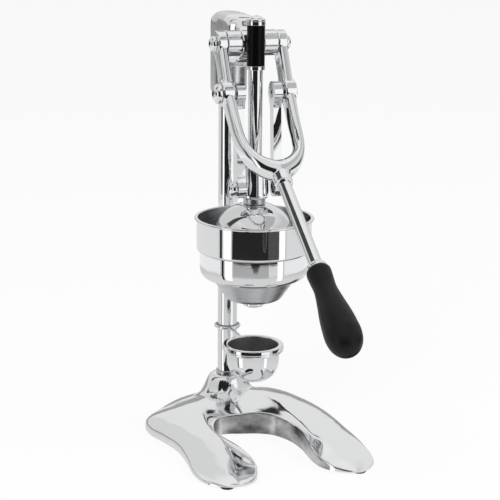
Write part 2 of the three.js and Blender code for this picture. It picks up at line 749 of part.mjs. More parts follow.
const nutBore = rod(rodBore, nutLow - cutOverrun, bellTop, mediumSides);
addPiece(plunger, 'bell_nut',
  joined([rod(bellNutRadius, nutLow, nutLow + bellNutHeight, hexSides)], [nutBore]), brushedSteel);

// Lever: the fork, its rod, the ferrule and the grip. The lever's line starts at the elbow, where
// the links hang, and falls forward.
const lever = new THREE.Group();
press.add(lever);
const leverPitch = Math.PI / 2 + THREE.MathUtils.degToRad(leverDrop);
const leverForward = new THREE.Vector3(0, -Math.sin(leverPitch), Math.cos(leverPitch));
const leverNormal = new THREE.Vector3(0, -leverForward.z, leverForward.y); // away from the links' bolts
const elbow = new THREE.Vector3(0, elbowY, elbowZ);
const lineStart = elbow.clone().addScaledVector(leverNormal, leverOffset);

// The right half of the fork's middle line, from the hub down to the elbow and round the bow
const bowShares = [
  // share of the reach along the lever, of the lever's offset, and of the half width
  [0, 0, 1], [0.19, 0.3, 0.99], [0.38, 0.58, 0.97], [0.56, 0.77, 0.95],
  [0.73, 0.89, 0.86], [0.87, 0.95, 0.65], [0.96, 0.99, 0.35], [1, 1, 0],
];
const armLine = bowShares.map(([along, drop, across]) => elbow.clone()
  .addScaledVector(leverForward, forkReach * along)
  .addScaledVector(leverNormal, leverOffset * drop)
  .setX(forkMiddle * across));
const hub = new THREE.Vector3(forkMiddle, pivotBack, pivotZ);
const forkCurve = new THREE.CatmullRomCurve3([hub, hub.clone().lerp(armLine[0], 0.5), ...armLine]);
const forkSteps = 16;
const forkSides = 10;
const roundness = 0.75; // power that squares the arm's oval section a little

function forkRing(share) {
  const middle = forkCurve.getPoint(share);
  const along = forkCurve.getTangent(share);
  const sideView = share < 1 ? along.clone().setX(0).normalize() : leverForward.clone();
  const deep = new THREE.Vector3(0, -sideView.z, sideView.y);
  const thick = deep.clone().cross(along).normalize();
  const inBow = Math.abs(along.x) ** 2; // 0 on the arms, 1 in the middle of the bow
  const halfThick = THREE.MathUtils.lerp(armThickness, bowThickness, inBow) / 2;
  return Array.from({ length: forkSides }, (unused, i) => {
    const angle = i / forkSides * 2 * Math.PI;
    return middle.clone()
      .addScaledVector(thick, halfThick * squared(Math.cos(angle), roundness))
      .addScaledVector(deep, armDepth / 2 * squared(Math.sin(angle), roundness));
  });
}

const rightRings = Array.from({ length: forkSteps + 1 }, (unused, i) => forkRing(i / forkSteps));
const leftRings = rightRings.slice(0, -1).reverse()
  .map((points) => points.map((point) => new THREE.Vector3(-point.x, point.y, point.z)));
const onLever = (geometry) => geometry.rotateX(leverPitch).translate(lineStart.x, lineStart.y, lineStart.z);
const forkShapes = [
  loft([...rightRings, ...leftRings]),
  onLever(rod(socketRadius, forkReach, bowEnd, smallSides)),
];
const elbowOuter = forkOuter + elbowPad;
const forkCuts = [
  alongX(rod(pivotRadius + seatGap, -forkOuter - cutOverrun, forkOuter + cutOverrun, smallSides))
    .translate(0, pivotBack, pivotZ),
  alongX(rod(linkPinRadius + seatGap, -elbowOuter - cutOverrun, forkInner + linkScrewReach, smallSides))
    .translate(0, elbowY, elbowZ),
  onLever(rod(leverRadius + seatGap, leverStart - seatGap, bowEnd + cutOverrun, smallSides)),
];
for (const side of [-1, 1]) {
  const hubRod = alongX(rod(hubRadius, forkInner, forkOuter, mediumSides));
  const elbowRod = alongX(rod(elbowRadius, forkInner, elbowOuter, mediumSides));
  const across = side > 0 ? 0 : Math.PI;
  forkShapes.push(hubRod.rotateZ(across).translate(0, pivotBack, pivotZ));
  forkShapes.push(elbowRod.rotateZ(across).translate(0, elbowY, elbowZ));
}
addPiece(lever, 'fork', joined(forkShapes, forkCuts), chrome);

// Everything on the lever's line beyond the fork
const leverLine = new THREE.Group();
leverLine.position.copy(lineStart);
leverLine.rotation.x = leverPitch;
lever.add(leverLine);
const ferruleStart = bowEnd + leverFree;
addPiece(leverLine, 'lever_rod', rod(leverRadius, leverStart, gripStart + gripSeat, smallSides), chrome);
addPiece(leverLine, 'ferrule', turned([
  [leverRadius + seatGap, ferruleStart],
  [ferruleRadius * 0.84, ferruleStart],
  [ferruleRadius, ferruleStart + ferruleHeight * 0.4],
  [ferruleRadius, ferruleStart + ferruleHeight],
  [leverRadius + seatGap, ferruleStart + ferruleHeight],
  [leverRadius + seatGap, ferruleStart],
], mediumSides), chrome);
const gripShares = [
  // share of the length, and the radius between neck and bulb that the row follows
  [0.03, gripTopRadius], [0.12, gripTopRadius * 0.96], [0.24, gripNeckRadius],
  [0.4, THREE.MathUtils.lerp(gripNeckRadius, gripBulbRadius, 0.33)],
  [0.56, THREE.MathUtils.lerp(gripNeckRadius, gripBulbRadius, 0.75)],
  [0.7, gripBulbRadius * 0.985], [0.79, gripBulbRadius], [0.88, gripBulbRadius * 0.9],
  [0.95, gripBulbRadius * 0.66], [0.985, gripBulbRadius * 0.36],
];
addPiece(leverLine, 'grip', turned([
  [0, gripStart + gripSeat + seatGap],
  [leverRadius + seatGap, gripStart + gripSeat + seatGap],
  [leverRadius + seatGap, gripStart],
  [gripTopRadius * 0.9, gripStart],
  ...gripShares.map(([share, radius]) => [radius, gripStart + gripLength * share]),
  [0, gripStart + gripLength],
], mediumSides), blackGrip);

// Links with their bolts. A link hangs from the fork's elbow and reaches the crosshead's side.
const linkTilt = Math.asin(elbowY / linkLength);
const linkOutline = new THREE.Shape();
const eyeBlendShare = 1.5; // of an eye's radius: where its curve has met the shank
const topTurn = Math.asin((linkTopEye - linkWaist) / linkTopEye) + 0.5;
const footTurn = Math.asin((linkBottomEye - linkWaist) / linkBottomEye) + 0.5;
linkOutline.absarc(0, 0, linkTopEye, -Math.PI / 2 + topTurn, 1.5 * Math.PI - topTurn, false);
linkOutline.lineTo(-linkWaist, -linkTopEye * eyeBlendShare);
linkOutline.lineTo(-linkWaist, -linkLength + linkBottomEye * eyeBlendShare);
linkOutline.absarc(0, -linkLength, linkBottomEye, Math.PI / 2 + footTurn, 2.5 * Math.PI - footTurn, false);
linkOutline.lineTo(linkWaist, -linkLength + linkBottomEye * eyeBlendShare);
linkOutline.lineTo(linkWaist, -linkTopEye * eyeBlendShare);
for (const middle of [0, -linkLength]) {
  const eye = new THREE.Path();
  eye.absarc(0, middle, linkPinRadius + seatGap, 0, 2 * Math.PI, true);
  linkOutline.holes.push(eye);
}
const linkPlate = () => new THREE.ExtrudeGeometry(linkOutline, {
  depth: linkThickness,
  bevelEnabled: false,
  curveSegments: 10,
}).rotateX(Math.PI / 2).rotateZ(Math.PI / 2);

for (const [side, word] of [[-1, 'left'], [1, 'right']]) {
  const turn = side * Math.PI / 2;
  const link = new THREE.Group();
  link.position.copy(elbow);
  link.rotation.x = linkTilt;
  press.add(link);
  const seat = alongX(rod(linkScrewRadius + seatGap, -cutOverrun, linkScrewHeight + seatGap, smallSides));
  const plate = addPiece(link, `link_${word}`, joined([linkPlate()], side > 0 ? [seat] : []), chrome);
  plate.position.x = side > 0 ? linkInner : -linkOuter;
  const pinStart = linkOuter + seatGap;
  const pin = addPiece(link, `link_pin_${word}`, turned([
    [0, linkInner - seatGap],
    [linkPinRadius, linkInner - seatGap],
    [linkPinRadius, pinStart],
    [pinHeadRadius, pinStart],
    [pinHeadRadius, pinStart + pinHeadHeight * 0.5],
    [pinHeadRadius * 0.8, pinStart + pinHeadHeight * 0.8],
    [pinHeadRadius * 0.45, pinStart + pinHeadHeight * 0.97],
    [0, pinStart + pinHeadHeight],
  ], smallSides).rotateY(turn), chrome);
  pin.position.z = -linkLength;
  const spacer = addPiece(lever, `link_spacer_${word}`, rod(linkSpacerRadius, linkOuter + seatGap,
    forkInner - seatGap, smallSides, linkPinRadius + seatGap).rotateY(turn), brushedSteel);
  spacer.position.copy(elbow);
}

// The left link's bolt has a domed head outside the arm, the right one a socket head inside the link
const boltStart = elbowOuter + seatGap;
const boltLeft = addPiece(lever, 'link_bolt_left', turned([
  [0, linkInner + seatGap],
  [linkPinRadius, linkInner + seatGap],
  [linkPinRadius, boltStart],
  [linkHeadRadius, boltStart],
  [linkHeadRadius, boltStart + linkHeadHeight * 0.3],
  [linkHeadRadius * 0.9, boltStart + linkHeadHeight * 0.62],
  [linkHeadRadius * 0.6, boltStart + linkHeadHeight * 0.9],
  [0, boltStart + linkHeadHeight],
], mediumSides).rotateY(-Math.PI / 2), chrome);
boltLeft.position.copy(elbow);
const screwTip = forkInner + linkScrewReach - seatGap;
const boltRight = addPiece(lever, 'link_bolt_right', turned([
  [0, linkInner + linkScrewHeight / 2],
  [linkScrewSocket, linkInner + linkScrewHeight / 2],
  [linkScrewSocket, linkInner],
  [linkScrewRadius, linkInner],
  [linkScrewRadius, linkInner + linkScrewHeight],
  [linkPinRadius, linkInner + linkScrewHeight],
  [linkPinRadius, screwTip],
  [0, screwTip],
], smallSides).rotateY(Math.PI / 2), brushedSteel);
boltRight.position.copy(elbow);

// Drip cup: a round-bottomed steel cup with a rolled rim
const beadRadius = cupRadius + cupRimOverhang;
const beadHeight = cupRim - cupBead;
const cupShares = [[0, 0], [0.45, 0.02], [0.72, 0.12], [0.9, 0.3], [0.98, 0.52]];
const cupOutside = cupShares.map(([radius, height]) => (
  [cupRadius * radius, cupUnderside + cupDepth * height]
));
const cupInside = cupShares.map(([radius, height]) => (
  [(cupRadius - cupWall) * radius, cupUnderside + cupWall + (cupDepth - cupWall) * height]
)).reverse();
addPiece(press, 'drip_cup', turned([
  ...cupOutside,
  [cupRadius, beadHeight - cupBead * 0.7],
  [beadRadius, beadHeight - cupBead],
  [beadRadius + cupBead * 0.7, beadHeight - cupBead * 0.7],
  [beadRadius + cupBead, beadHeight],
  [beadRadius + cupBead * 0.7, beadHeight + cupBead * 0.7],
  [beadRadius, cupRim],
  [cupRadius - cupWall, beadHeight + cupBead * 0.4],
  ...cupInside,
], largeSides), stainless);

// Wire holder: a ring round the column, a ring under the cup's rim, and the wire between them
const seatRingRadius = cupRadius + seatGap + wireRadius;
const seatRingHeight = beadHeight - cupBead - seatGap - wireRadius;
const columnRingRadius = columnRadius + seatGap + wireRadius;
const wireStart = new THREE.Vector3(0, columnBack - columnRingRadius, seatRingHeight);
const wireEnd = new THREE.Vector3(0, seatRingRadius, seatRingHeight);
const bridge = rod(wireRadius, wireEnd.y, wireStart.y, wireSides)
  .rotateX(-Math.PI / 2)
  .translate(0, 0, seatRingHeight);
addPiece(press, 'cup_holder', joined([
  ring(seatRingRadius, wireRadius, seatRingHeight, mediumSides),
  ring(columnRingRadius, wireRadius, seatRingHeight, mediumSides).translate(0, columnBack, 0),
  bridge,
]), chrome);

// The origin lies on the ground, under the middle of the press's box
press.updateMatrixWorld(true);
const box = new THREE.Box3().setFromObject(press, true);
press.position.set(-(box.min.x + box.max.x) / 2, -(box.min.y + box.max.y) / 2, 0);
press.updateMatrixWorld(true);

export default press;
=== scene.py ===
# %% [markdown]
# # A hand lever citrus press
#
# Almost all of this press is polished metal, so it is made of reflections as much as of shapes. Two
# things decide how it looks: smooth, dense surfaces that bend a reflection softly, and surroundings
# with something in them to reflect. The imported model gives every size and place. The pieces are
# modelled again with the roundings, rims and sockets of real ones, and each rides on its body.

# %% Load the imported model
import json
import math

import bmesh
import bpy
from mathutils import Matrix, Vector


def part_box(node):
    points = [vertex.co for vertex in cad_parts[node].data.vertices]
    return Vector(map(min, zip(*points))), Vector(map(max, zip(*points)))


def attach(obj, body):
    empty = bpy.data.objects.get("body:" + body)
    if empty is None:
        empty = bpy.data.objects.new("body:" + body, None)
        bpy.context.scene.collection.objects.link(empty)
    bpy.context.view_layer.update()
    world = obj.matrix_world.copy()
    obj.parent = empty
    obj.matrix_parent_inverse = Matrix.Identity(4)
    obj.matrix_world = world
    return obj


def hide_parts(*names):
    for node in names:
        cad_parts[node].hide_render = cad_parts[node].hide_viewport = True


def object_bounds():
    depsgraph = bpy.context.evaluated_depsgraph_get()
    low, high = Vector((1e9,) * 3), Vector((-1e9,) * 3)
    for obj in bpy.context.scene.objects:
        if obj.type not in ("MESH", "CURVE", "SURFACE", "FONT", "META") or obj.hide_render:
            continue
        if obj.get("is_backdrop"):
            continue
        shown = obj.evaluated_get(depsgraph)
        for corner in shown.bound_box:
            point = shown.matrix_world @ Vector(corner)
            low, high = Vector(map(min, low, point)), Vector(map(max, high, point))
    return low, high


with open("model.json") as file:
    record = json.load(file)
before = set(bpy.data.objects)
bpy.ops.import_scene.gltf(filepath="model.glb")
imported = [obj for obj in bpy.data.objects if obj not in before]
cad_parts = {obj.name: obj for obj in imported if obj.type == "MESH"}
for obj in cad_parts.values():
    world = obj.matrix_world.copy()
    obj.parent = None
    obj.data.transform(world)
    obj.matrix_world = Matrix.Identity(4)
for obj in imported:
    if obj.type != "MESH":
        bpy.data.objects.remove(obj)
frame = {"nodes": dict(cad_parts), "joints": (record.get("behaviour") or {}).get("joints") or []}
cad_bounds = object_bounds()
MM = 0.001


def deselect_all():
    for piece in bpy.context.selected_objects:
        piece.select_set(False)


def span(name, axis):
    """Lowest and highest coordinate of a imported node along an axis, in millimetres. Across the
    press, they are measured from the plunger's axis."""
    low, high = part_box(name)
    middle_plane = press_x if axis == 0 else 0
    return low[axis] / MM - middle_plane, high[axis] / MM - middle_plane


def middle(name, axis):
    return sum(span(name, axis)) / 2


low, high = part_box("plunger_rod")
press_x = (low[0] / MM + high[0] / MM) / 2  # the press stands a little to the right in its frame
joint_at = {joint["name"]: joint.get("pos_m") for joint in frame["joints"]}
plunger_y = middle("plunger_rod", 1)
column_y = middle("column", 1)
pivot_y, pivot_z = (joint_at["lever_pivot"][axis] / MM for axis in (1, 2))
elbow_y, elbow_z = (joint_at["left_link_pivot"][axis] / MM for axis in (1, 2))
on_plunger = (0, plunger_y, 0)
on_column = (0, column_y, 0)
at_pivot = (0, pivot_y, pivot_z)
at_elbow = (0, elbow_y, elbow_z)
deselect_all()
print(f"plunger at y {plunger_y:.1f}, column at y {column_y:.1f}, pivot at z {pivot_z:.1f}")

# %% [markdown]
# ## Camera
#
# The photograph looks down a little from the front left, through a long lens. The camera comes first
# because the reflections in every rounded piece depend on where it stands. A long lens keeps upright
# edges nearly parallel, so it stands about a metre and a half away.

# %% Camera
CAMERA_PLACE = Vector((-0.4927 + press_x * MM, -1.3942, 0.59575))
CAMERA_TURN = 18.35  # degrees from straight ahead, towards the press
CAMERA_DIP = 13.83
CAMERA_ROLL = 0.51
CAMERA_LENS = 104.8
SENSOR = 36

camera_data = bpy.data.cameras.new("camera")
camera_data.lens = CAMERA_LENS
camera_data.sensor_width = SENSOR
camera = bpy.data.objects.new("camera", camera_data)
bpy.context.scene.collection.objects.link(camera)
turn, dip, roll = (math.radians(angle) for angle in (CAMERA_TURN, CAMERA_DIP, CAMERA_ROLL))
forward = Vector((math.sin(turn) * math.cos(dip), math.cos(turn) * math.cos(dip), -math.sin(dip)))
level = Vector((math.cos(turn), -math.sin(turn), 0))
upright = level.cross(forward)
right = level * math.cos(roll) + upright * math.sin(roll)
camera_axes = Matrix((right, right.cross(forward), -forward)).transposed()
camera.matrix_world = Matrix.Translation(CAMERA_PLACE) @ camera_axes.to_4x4()
bpy.context.scene.camera = camera
print("camera at", [round(value, 3) for value in CAMERA_PLACE])

# %% [markdown]
# ## Finishes
#
# A finish is one Principled shader and a little noise. Chrome on a turned rod is almost a mirror. A
# polished casting is a mirror with slow waves in it, because it was polished by hand. On the wall round
# the base's opening it is rougher and painted a darker grey with dark and pale streaks in its colour:
# painted shade and painted reflections. Steel is bright where it was polished and keeps the fine rings
# of the tool where it was spun. Inside a cup it is dull, and its colour is painted darker there, a
# painted shade. The waves and rings go into the bump, and faint smears into the roughness, so no
# surface is perfectly even.

# %% Helpers for materials
def feed(tree, socket, value):
    """Gives a socket a value, or links another node's socket to it."""
    if isinstance(value, bpy.types.NodeSocket):
        tree.links.new(value, socket)
    else:
        socket.default_value = value


def node(tree, kind, **inputs):
    """A shader node whose inputs are values or sockets. An underscore stands for a space."""
    made = tree.nodes.new("ShaderNode" + kind)
    for name, value in inputs.items():
        feed(tree, made.inputs[name.replace("_", " ")], value)
    return made


def math_node(tree, operation, *values, clamp=False):
    made = tree.nodes.new("ShaderNodeMath")
    made.operation = operation
    made.use_clamp = clamp
    for socket, value in zip(made.inputs, values):
        feed(tree, socket, value)
    return made.outputs[0]


def mix_shaders(tree, share, first, second):
    made = node(tree, "MixShader", Fac=share)
    tree.links.new(first, made.inputs[1])
    tree.links.new(second, made.inputs[2])
    return made.outputs["Shader"]


def noise(tree, scale, detail, stretch):
    """Noise on object coordinates, in features per metre, stretched along an axis if asked."""
    coordinates = node(tree, "TexCoord").outputs["Object"]
    stretched = node(tree, "Mapping", Vector=coordinates, Scale=stretch).outputs["Vector"]
    return node(tree, "TexNoise", Vector=stretched, Scale=scale, Detail=detail).outputs["Fac"]


def smear(tree, shader, scale, low, high, stretch=(1, 1, 1), socket="Roughness"):
    """Lets the roughness, or a grey base colour, wander between two values."""
    texture = noise(tree, scale, 4, stretch)
    spread = node(tree, "MapRange", Value=texture, From_Min=0.3, From_Max=0.7, To_Min=low, To_Max=high)
    feed(tree, shader.inputs[socket], spread.outputs["Result"])


def ripple(tree, shader, scale, depth, stretch=(1, 1, 1)):
    """Bump with waves of the given depth in metres, on top of any bump that is there."""
    bump = node(tree, "Bump", Height=noise(tree, scale, 2, stretch), Distance=depth, Strength=1)
    for earlier in shader.inputs["Normal"].links:
        feed(tree, bump.inputs["Normal"], earlier.from_socket)
    feed(tree, shader.inputs["Normal"], bump.outputs["Normal"])


def finish(name, color, roughness, smears=(), ripples=(), metallic=1, specular=0.5):
    made = bpy.data.materials.new(name)
    made.use_nodes = True
    tree = made.node_tree
    shader = tree.nodes["Principled BSDF"]
    feed(tree, shader.inputs["Base Color"], (*color, 1))
    feed(tree, shader.inputs["Metallic"], metallic)
    feed(tree, shader.inputs["Roughness"], roughness)
    feed(tree, shader.inputs["Specular IOR Level"], specular)
    for settings in smears:
        smear(tree, shader, *settings)
    for settings in ripples:
        ripple(tree, shader, *settings)
    return made


# %% Finishes
HAND_WAVES = (38, 0.0003)
recipes = {
    # colour, mean roughness
    # smears: features per metre, lowest and highest value, stretch, what they change
    # ripples: features per metre, depth in metres, stretch
    # metallic, specular
    "chrome": ((0.9, 0.91, 0.92), 0.05, [(90, 0.03, 0.09)], [(55, 0.00012)]),
    "polished_casting": ((0.9, 0.905, 0.915), 0.08, [(60, 0.05, 0.13)], [HAND_WAVES]),
    "satin_casting": ((0.74, 0.745, 0.755), 0.22, [(60, 0.18, 0.28)], [HAND_WAVES]),
    # painted shade and painted reflections for the wall round the base's opening: a darker grey, with dark
    # and pale streaks in the colour
    "painted_shade_casting": (
        (0.4, 0.4, 0.41), 0.25, [(30, 0.04, 0.75, (1, 1, 1.6), "Base Color"), (60, 0.2, 0.32)], [HAND_WAVES],
    ),
    "polished_steel": (
        (0.83, 0.835, 0.845), 0.1, [(40, 0.02, 0.05, (1, 1, 9))],
        [(30, 0.00006), (900, 0.000003, (0.04, 0.04, 1))],
    ),
    "spun_steel": (
        (0.62, 0.625, 0.635), 0.3, [(300, 0.24, 0.36, (0.1, 0.1, 1))], [(1500, 0.00004, (0.03, 0.03, 1))],
    ),
    # dull steel whose colour is painted darker: painted shade inside the cup, and a painted contact shadow
    # where the wire meets the column
    "dull_steel_painted_shade": ((0.4, 0.4, 0.41), 0.5, [(200, 0.42, 0.56)], [(1200, 0.00003)]),
    "plain_steel": ((0.62, 0.63, 0.64), 0.25, [(200, 0.18, 0.34)], [(1200, 0.00002)]),
    "foot_rubber": ((0.022, 0.022, 0.022), 0.8, [(400, 0.7, 0.9)], [(1500, 0.0001)], 0),
    "black_grip": ((0.006, 0.006, 0.0065), 0.4, [(120, 0.36, 0.46)], [(1400, 0.00003)], 0, 0.22),
    "black_band": ((0.002, 0.002, 0.0022), 0.28, [(200, 0.22, 0.34)], [(900, 0.00002)], 0, 0.12),
}
finishes = {name: finish(name, *recipe) for name, recipe in recipes.items()}
finishes["stainless"] = finishes["polished_steel"]  # the slot has another name
print("finishes:", list(finishes))

# %% [markdown]
# ## Tools of the workshop
#
# Most of the press is turned on a lathe. A turned piece starts as one point, which is extruded from
# place to place along its profile and then spun round the upright axis. Castings and forgings start
# as a grid that is bent into place. Edges are rounded, because every polished edge catches a
# highlight. Holes that go with one shaft have one size.

# %% Helpers for shaping
COLUMN_HOLE = 11.55  # radii in millimetres
PIVOT_HOLE = 5.3
PIN_HOLE = 4.3
ROD_HOLE = 8.1
LEVER_HOLE = 7.15
SLEEVE_HOLE = 10.3
SIDEWAYS = (0, 90, 0)  # lays an upright shape across the press
SAME_PLACE = 0.001 * MM  # points closer than this are merged


def choose(piece):
    deselect_all()
    piece.select_set(True)
    bpy.context.view_layer.objects.active = piece


def modify(piece, kind, **settings):
    """Adds a modifier to a piece and applies it."""
    choose(piece)
    bpy.ops.object.modifier_add(type=kind)
    modifier = piece.modifiers[-1]
    for key, value in settings.items():
        setattr(modifier, key, value)
    bpy.ops.object.modifier_apply(modifier=modifier.name)
    return piece


def round_edges(piece, width, angle=35, segments=3):
    return modify(
        piece, "BEVEL", width=width * MM, segments=segments,
        limit_method="ANGLE", angle_limit=math.radians(angle),
    )


def place(piece, at=(0, 0, 0), turned_by=(0, 0, 0)):
    """Turns and moves a piece, in degrees and millimetres, and puts its place in its mesh."""
    choose(piece)
    piece.rotation_euler = [math.radians(angle) for angle in turned_by]
    piece.location = Vector(at) * MM
    bpy.ops.object.transform_apply(location=True, rotation=True, scale=True)
    return piece


def added(primitive, name, **settings):
    """Adds a mesh primitive under a name, and leaves nothing else chosen."""
    deselect_all()
    primitive(**settings)
    bpy.context.object.name = name
    return bpy.context.object


def close_up():
    """Turns all faces of the mesh that is being edited outwards, and ends the editing."""
    bpy.ops.mesh.select_mode(type="VERT")
    bpy.ops.mesh.select_all(action="SELECT")
    bpy.ops.mesh.normals_make_consistent(inside=False)
    bpy.ops.object.mode_set(mode="OBJECT")


def turned(name, profile, sides=96):
    """Extrudes a point along a profile of (radius, height) in millimetres and spins it."""
    piece = added(bpy.ops.mesh.primitive_circle_add, name, vertices=3, radius=MM)
    bpy.ops.object.mode_set(mode="EDIT")
    bpy.ops.mesh.select_all(action="SELECT")
    bpy.ops.mesh.merge(type="CENTER")
    here = Vector((profile[0][0], 0, profile[0][1])) * MM
    bpy.ops.transform.translate(value=here)
    for radius, height in profile[1:]:
        there = Vector((radius, 0, height)) * MM
        bpy.ops.mesh.extrude_region_move(TRANSFORM_OT_translate={"value": there - here})
        here = there
    bpy.ops.mesh.select_all(action="SELECT")
    bpy.ops.mesh.spin(steps=sides, angle=2 * math.pi, center=(0, 0, 0), axis=(0, 0, 1))
    bpy.ops.mesh.select_all(action="SELECT")
    bpy.ops.mesh.remove_doubles(threshold=SAME_PLACE)
    close_up()
    return piece


def select_border():
    """Selects the open edges of the mesh that is being edited."""
    bpy.ops.mesh.select_all(action="DESELECT")
    bpy.ops.mesh.select_mode(type="EDGE")
    bpy.ops.mesh.select_non_manifold(extend=False)


def shaped_grid(name, columns, rows, at, closed_round=False):
    """Bends a grid so that its point (u, v), both from 0 to 1, lies at a place in millimetres."""
    piece = added(bpy.ops.mesh.primitive_grid_add, name, x_subdivisions=columns, y_subdivisions=rows, size=1)
    for vertex in piece.data.vertices:
        vertex.co = Vector(at(vertex.co.x + 0.5, vertex.co.y + 0.5)) * MM
    if closed_round:  # the seam is merged and the two ends are filled
        bpy.ops.object.mode_set(mode="EDIT")
        bpy.ops.mesh.select_all(action="SELECT")
        bpy.ops.mesh.remove_doubles(threshold=SAME_PLACE)
        select_border()
        bpy.ops.mesh.edge_face_add()
        close_up()
    return piece


def combine(piece, other, operation="UNION"):
    """Joins another shape to a piece, or cuts it away, and removes the other shape."""
    modify(piece, "BOOLEAN", operation=operation, object=other, solver="EXACT")
    bpy.data.objects.remove(other)
    return piece


def cut(piece, other):
    return combine(piece, other, "DIFFERENCE")


def cylinder(radius, low, high, at=(0, 0, 0), turned_by=(0, 0, 0), sides=48):
    """A plain shape for joining and cutting, which reaches from low to high along its axis."""
    size = {"vertices": sides, "radius": radius * MM, "depth": (high - low) * MM}
    upright_shape = added(bpy.ops.mesh.primitive_cylinder_add, "cylinder", **size)
    place(upright_shape, at=(0, 0, (low + high) / 2))
    return place(upright_shape, at, turned_by)


def drill(piece, radius, low, high, **settings):
    return cut(piece, cylinder(radius, low, high, **settings))


def ring(name, inner, outer, low, high, sides=96):
    """A turned ring with a square section."""
    return turned(name, [(inner, low), (outer, low), (outer, high), (inner, high), (inner, low)], sides)


def melt(piece, voxel, rounds):
    """Makes joined shapes one skin and smooths it, as grinding and polishing do."""
    modify(piece, "REMESH", mode="VOXEL", voxel_size=voxel * MM)
    modify(piece, "SMOOTH", factor=0.5, iterations=rounds)


def through(points, steps=6):
    """A smooth line through points with any number of coordinates."""
    line = []
    last = len(points) - 1
    for i in range(last):
        p0, p1, p2, p3 = (Vector(points[min(max(i + k, 0), last)]) for k in (-1, 0, 1, 2))
        for step in range(steps):
            t = step / steps
            bend = 2 * p0 - 5 * p1 + 4 * p2 - p3 + t * (3 * (p1 - p2) + p3 - p0)
            line.append(tuple(p1 + t / 2 * (p2 - p0 + t * bend)))
    return [*line, tuple(points[-1])]


def arc(across, height, radius, start, end, steps=8):
    """Points on a circle in the plane of a profile, angles in degrees."""
    angles = [math.radians(start + (end - start) * i / steps) for i in range(steps + 1)]
    return [(across + radius * math.cos(angle), height + radius * math.sin(angle)) for angle in angles]


def finish_where(piece, most, some, test):
    """Gives a piece one finish, and another to the faces whose middle, in millimetres, and normal
    pass a test."""
    for name in (most, some):
        piece.data.materials.append(finishes[name])
    for face in piece.data.polygons:
        if test(face.center / MM, face.normal):
            face.material_index = len(piece.data.materials) - 1


def dress(piece, body, slot, replaced, at=(0, 0, 0), turned_by=(0, 0, 0), smooth=35):
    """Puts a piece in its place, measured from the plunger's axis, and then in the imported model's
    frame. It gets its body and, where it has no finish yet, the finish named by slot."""
    place(piece, at, turned_by)
    place(piece, at=(press_x, 0, 0))
    bpy.ops.object.shade_smooth_by_angle(angle=math.radians(smooth))
    modify(piece, "WEIGHTED_NORMAL", keep_sharp=True, weight=100)
    if not piece.data.materials:
        piece.data.materials.append(finishes[slot])
    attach(piece, body)
    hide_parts(replaced)
    print(f"{piece.name}: {len(piece.data.polygons)} faces")


# %% [markdown]
# ## Base
#
# The base is one casting in the plan of a horseshoe. Seen across a leg, it is a roof: a steep wall
# stands on the inside, the back climbs to a crest and falls away round the outside. A grid follows
# the legs from the left tip over the closed end to the right tip, and a table says where its edges
# and its crest run. The two legs aren't quite alike, as in the photograph.

# %% Rows of the base
BASE_HALF_WIDTH = 116
BASE_LENGTH = 284
BASE_CREST = 30
BASE_UNDERSIDE = 2.5
base_rear = column_y + 36
# inner x and y, outer x and y, height of the rim, place and height of the crest, edge, fall
left_rows = [
    (0, 0.493, 0, 0, 0.93, 0.5, 0.9, 0.3, 1.6),
    (0.125, 0.48, 0.397, 0.042, 0.87, 0.45, 0.83, 0.28, 1.6),
    (0.262, 0.466, 0.724, 0.155, 0.8, 0.37, 0.86, 0.27, 1.2),
    (0.375, 0.479, 0.948, 0.275, 0.75, 0.2, 0.86, 0.27, 0.8),
    (0.448, 0.552, 0.978, 0.377, 0.72, 0.12, 0.82, 0.28, 0.6),
    (0.435, 0.64, 0.905, 0.479, 0.67, 0.15, 0.8, 0.3, 0.5),
    (0.352, 0.73, 0.841, 0.588, 0.6, 0.28, 0.78, 0.31, 0.5),
    (0.303, 0.815, 0.836, 0.711, 0.51, 0.36, 0.68, 0.28, 0.5),
    (0.302, 0.887, 0.853, 0.827, 0.44, 0.37, 0.52, 0.24, 0.5),
    (0.336, 0.933, 0.819, 0.908, 0.34, 0.36, 0.385, 0.2, 0.5),
    (0.397, 0.965, 0.724, 0.958, 0.23, 0.4, 0.26, 0.15, 0.5),
    (0.491, 0.982, 0.603, 0.986, 0.14, 0.45, 0.16, 0.1, 0.5),
]
right_rows = [
    (0.103, 0.512, 0.345, 0.042, 0.92, 0.4, 1, 0.32, 1.1),
    (0.181, 0.542, 0.569, 0.141, 0.88, 0.31, 1, 0.3, 0.8),
    (0.241, 0.588, 0.724, 0.264, 0.81, 0.19, 0.92, 0.28, 0.7),
    (0.28, 0.645, 0.802, 0.387, 0.78, 0.13, 0.87, 0.28, 0.6),
    (0.296, 0.71, 0.828, 0.5, 0.76, 0.11, 0.84, 0.3, 0.5),
    (0.289, 0.773, 0.836, 0.62, 0.66, 0.14, 0.8, 0.31, 0.5),
    (0.289, 0.838, 0.849, 0.729, 0.52, 0.26, 0.74, 0.28, 0.5),
    (0.31, 0.894, 0.853, 0.824, 0.38, 0.34, 0.54, 0.24, 0.5),
    (0.371, 0.937, 0.823, 0.908, 0.29, 0.34, 0.395, 0.2, 0.5),
    (0.448, 0.965, 0.733, 0.961, 0.2, 0.38, 0.26, 0.15, 0.5),
    (0.534, 0.984, 0.629, 0.988, 0.14, 0.45, 0.16, 0.1, 0.5),
]
mirrored = [(-a, b, -c, d, *heights) for a, b, c, d, *heights in reversed(left_rows)]
STEPS_PER_ROW = 12
base_line = through(mirrored + right_rows, STEPS_PER_ROW)
print(f"base: {len(base_line)} rows from the left tip to the right one")

# %% [markdown]
# The height over each point of the grid has three sources: the leg, the round boss of the column and
# the keel in front of it, which leans to the left. A soft maximum blends them, as the fillets of a
# casting do.

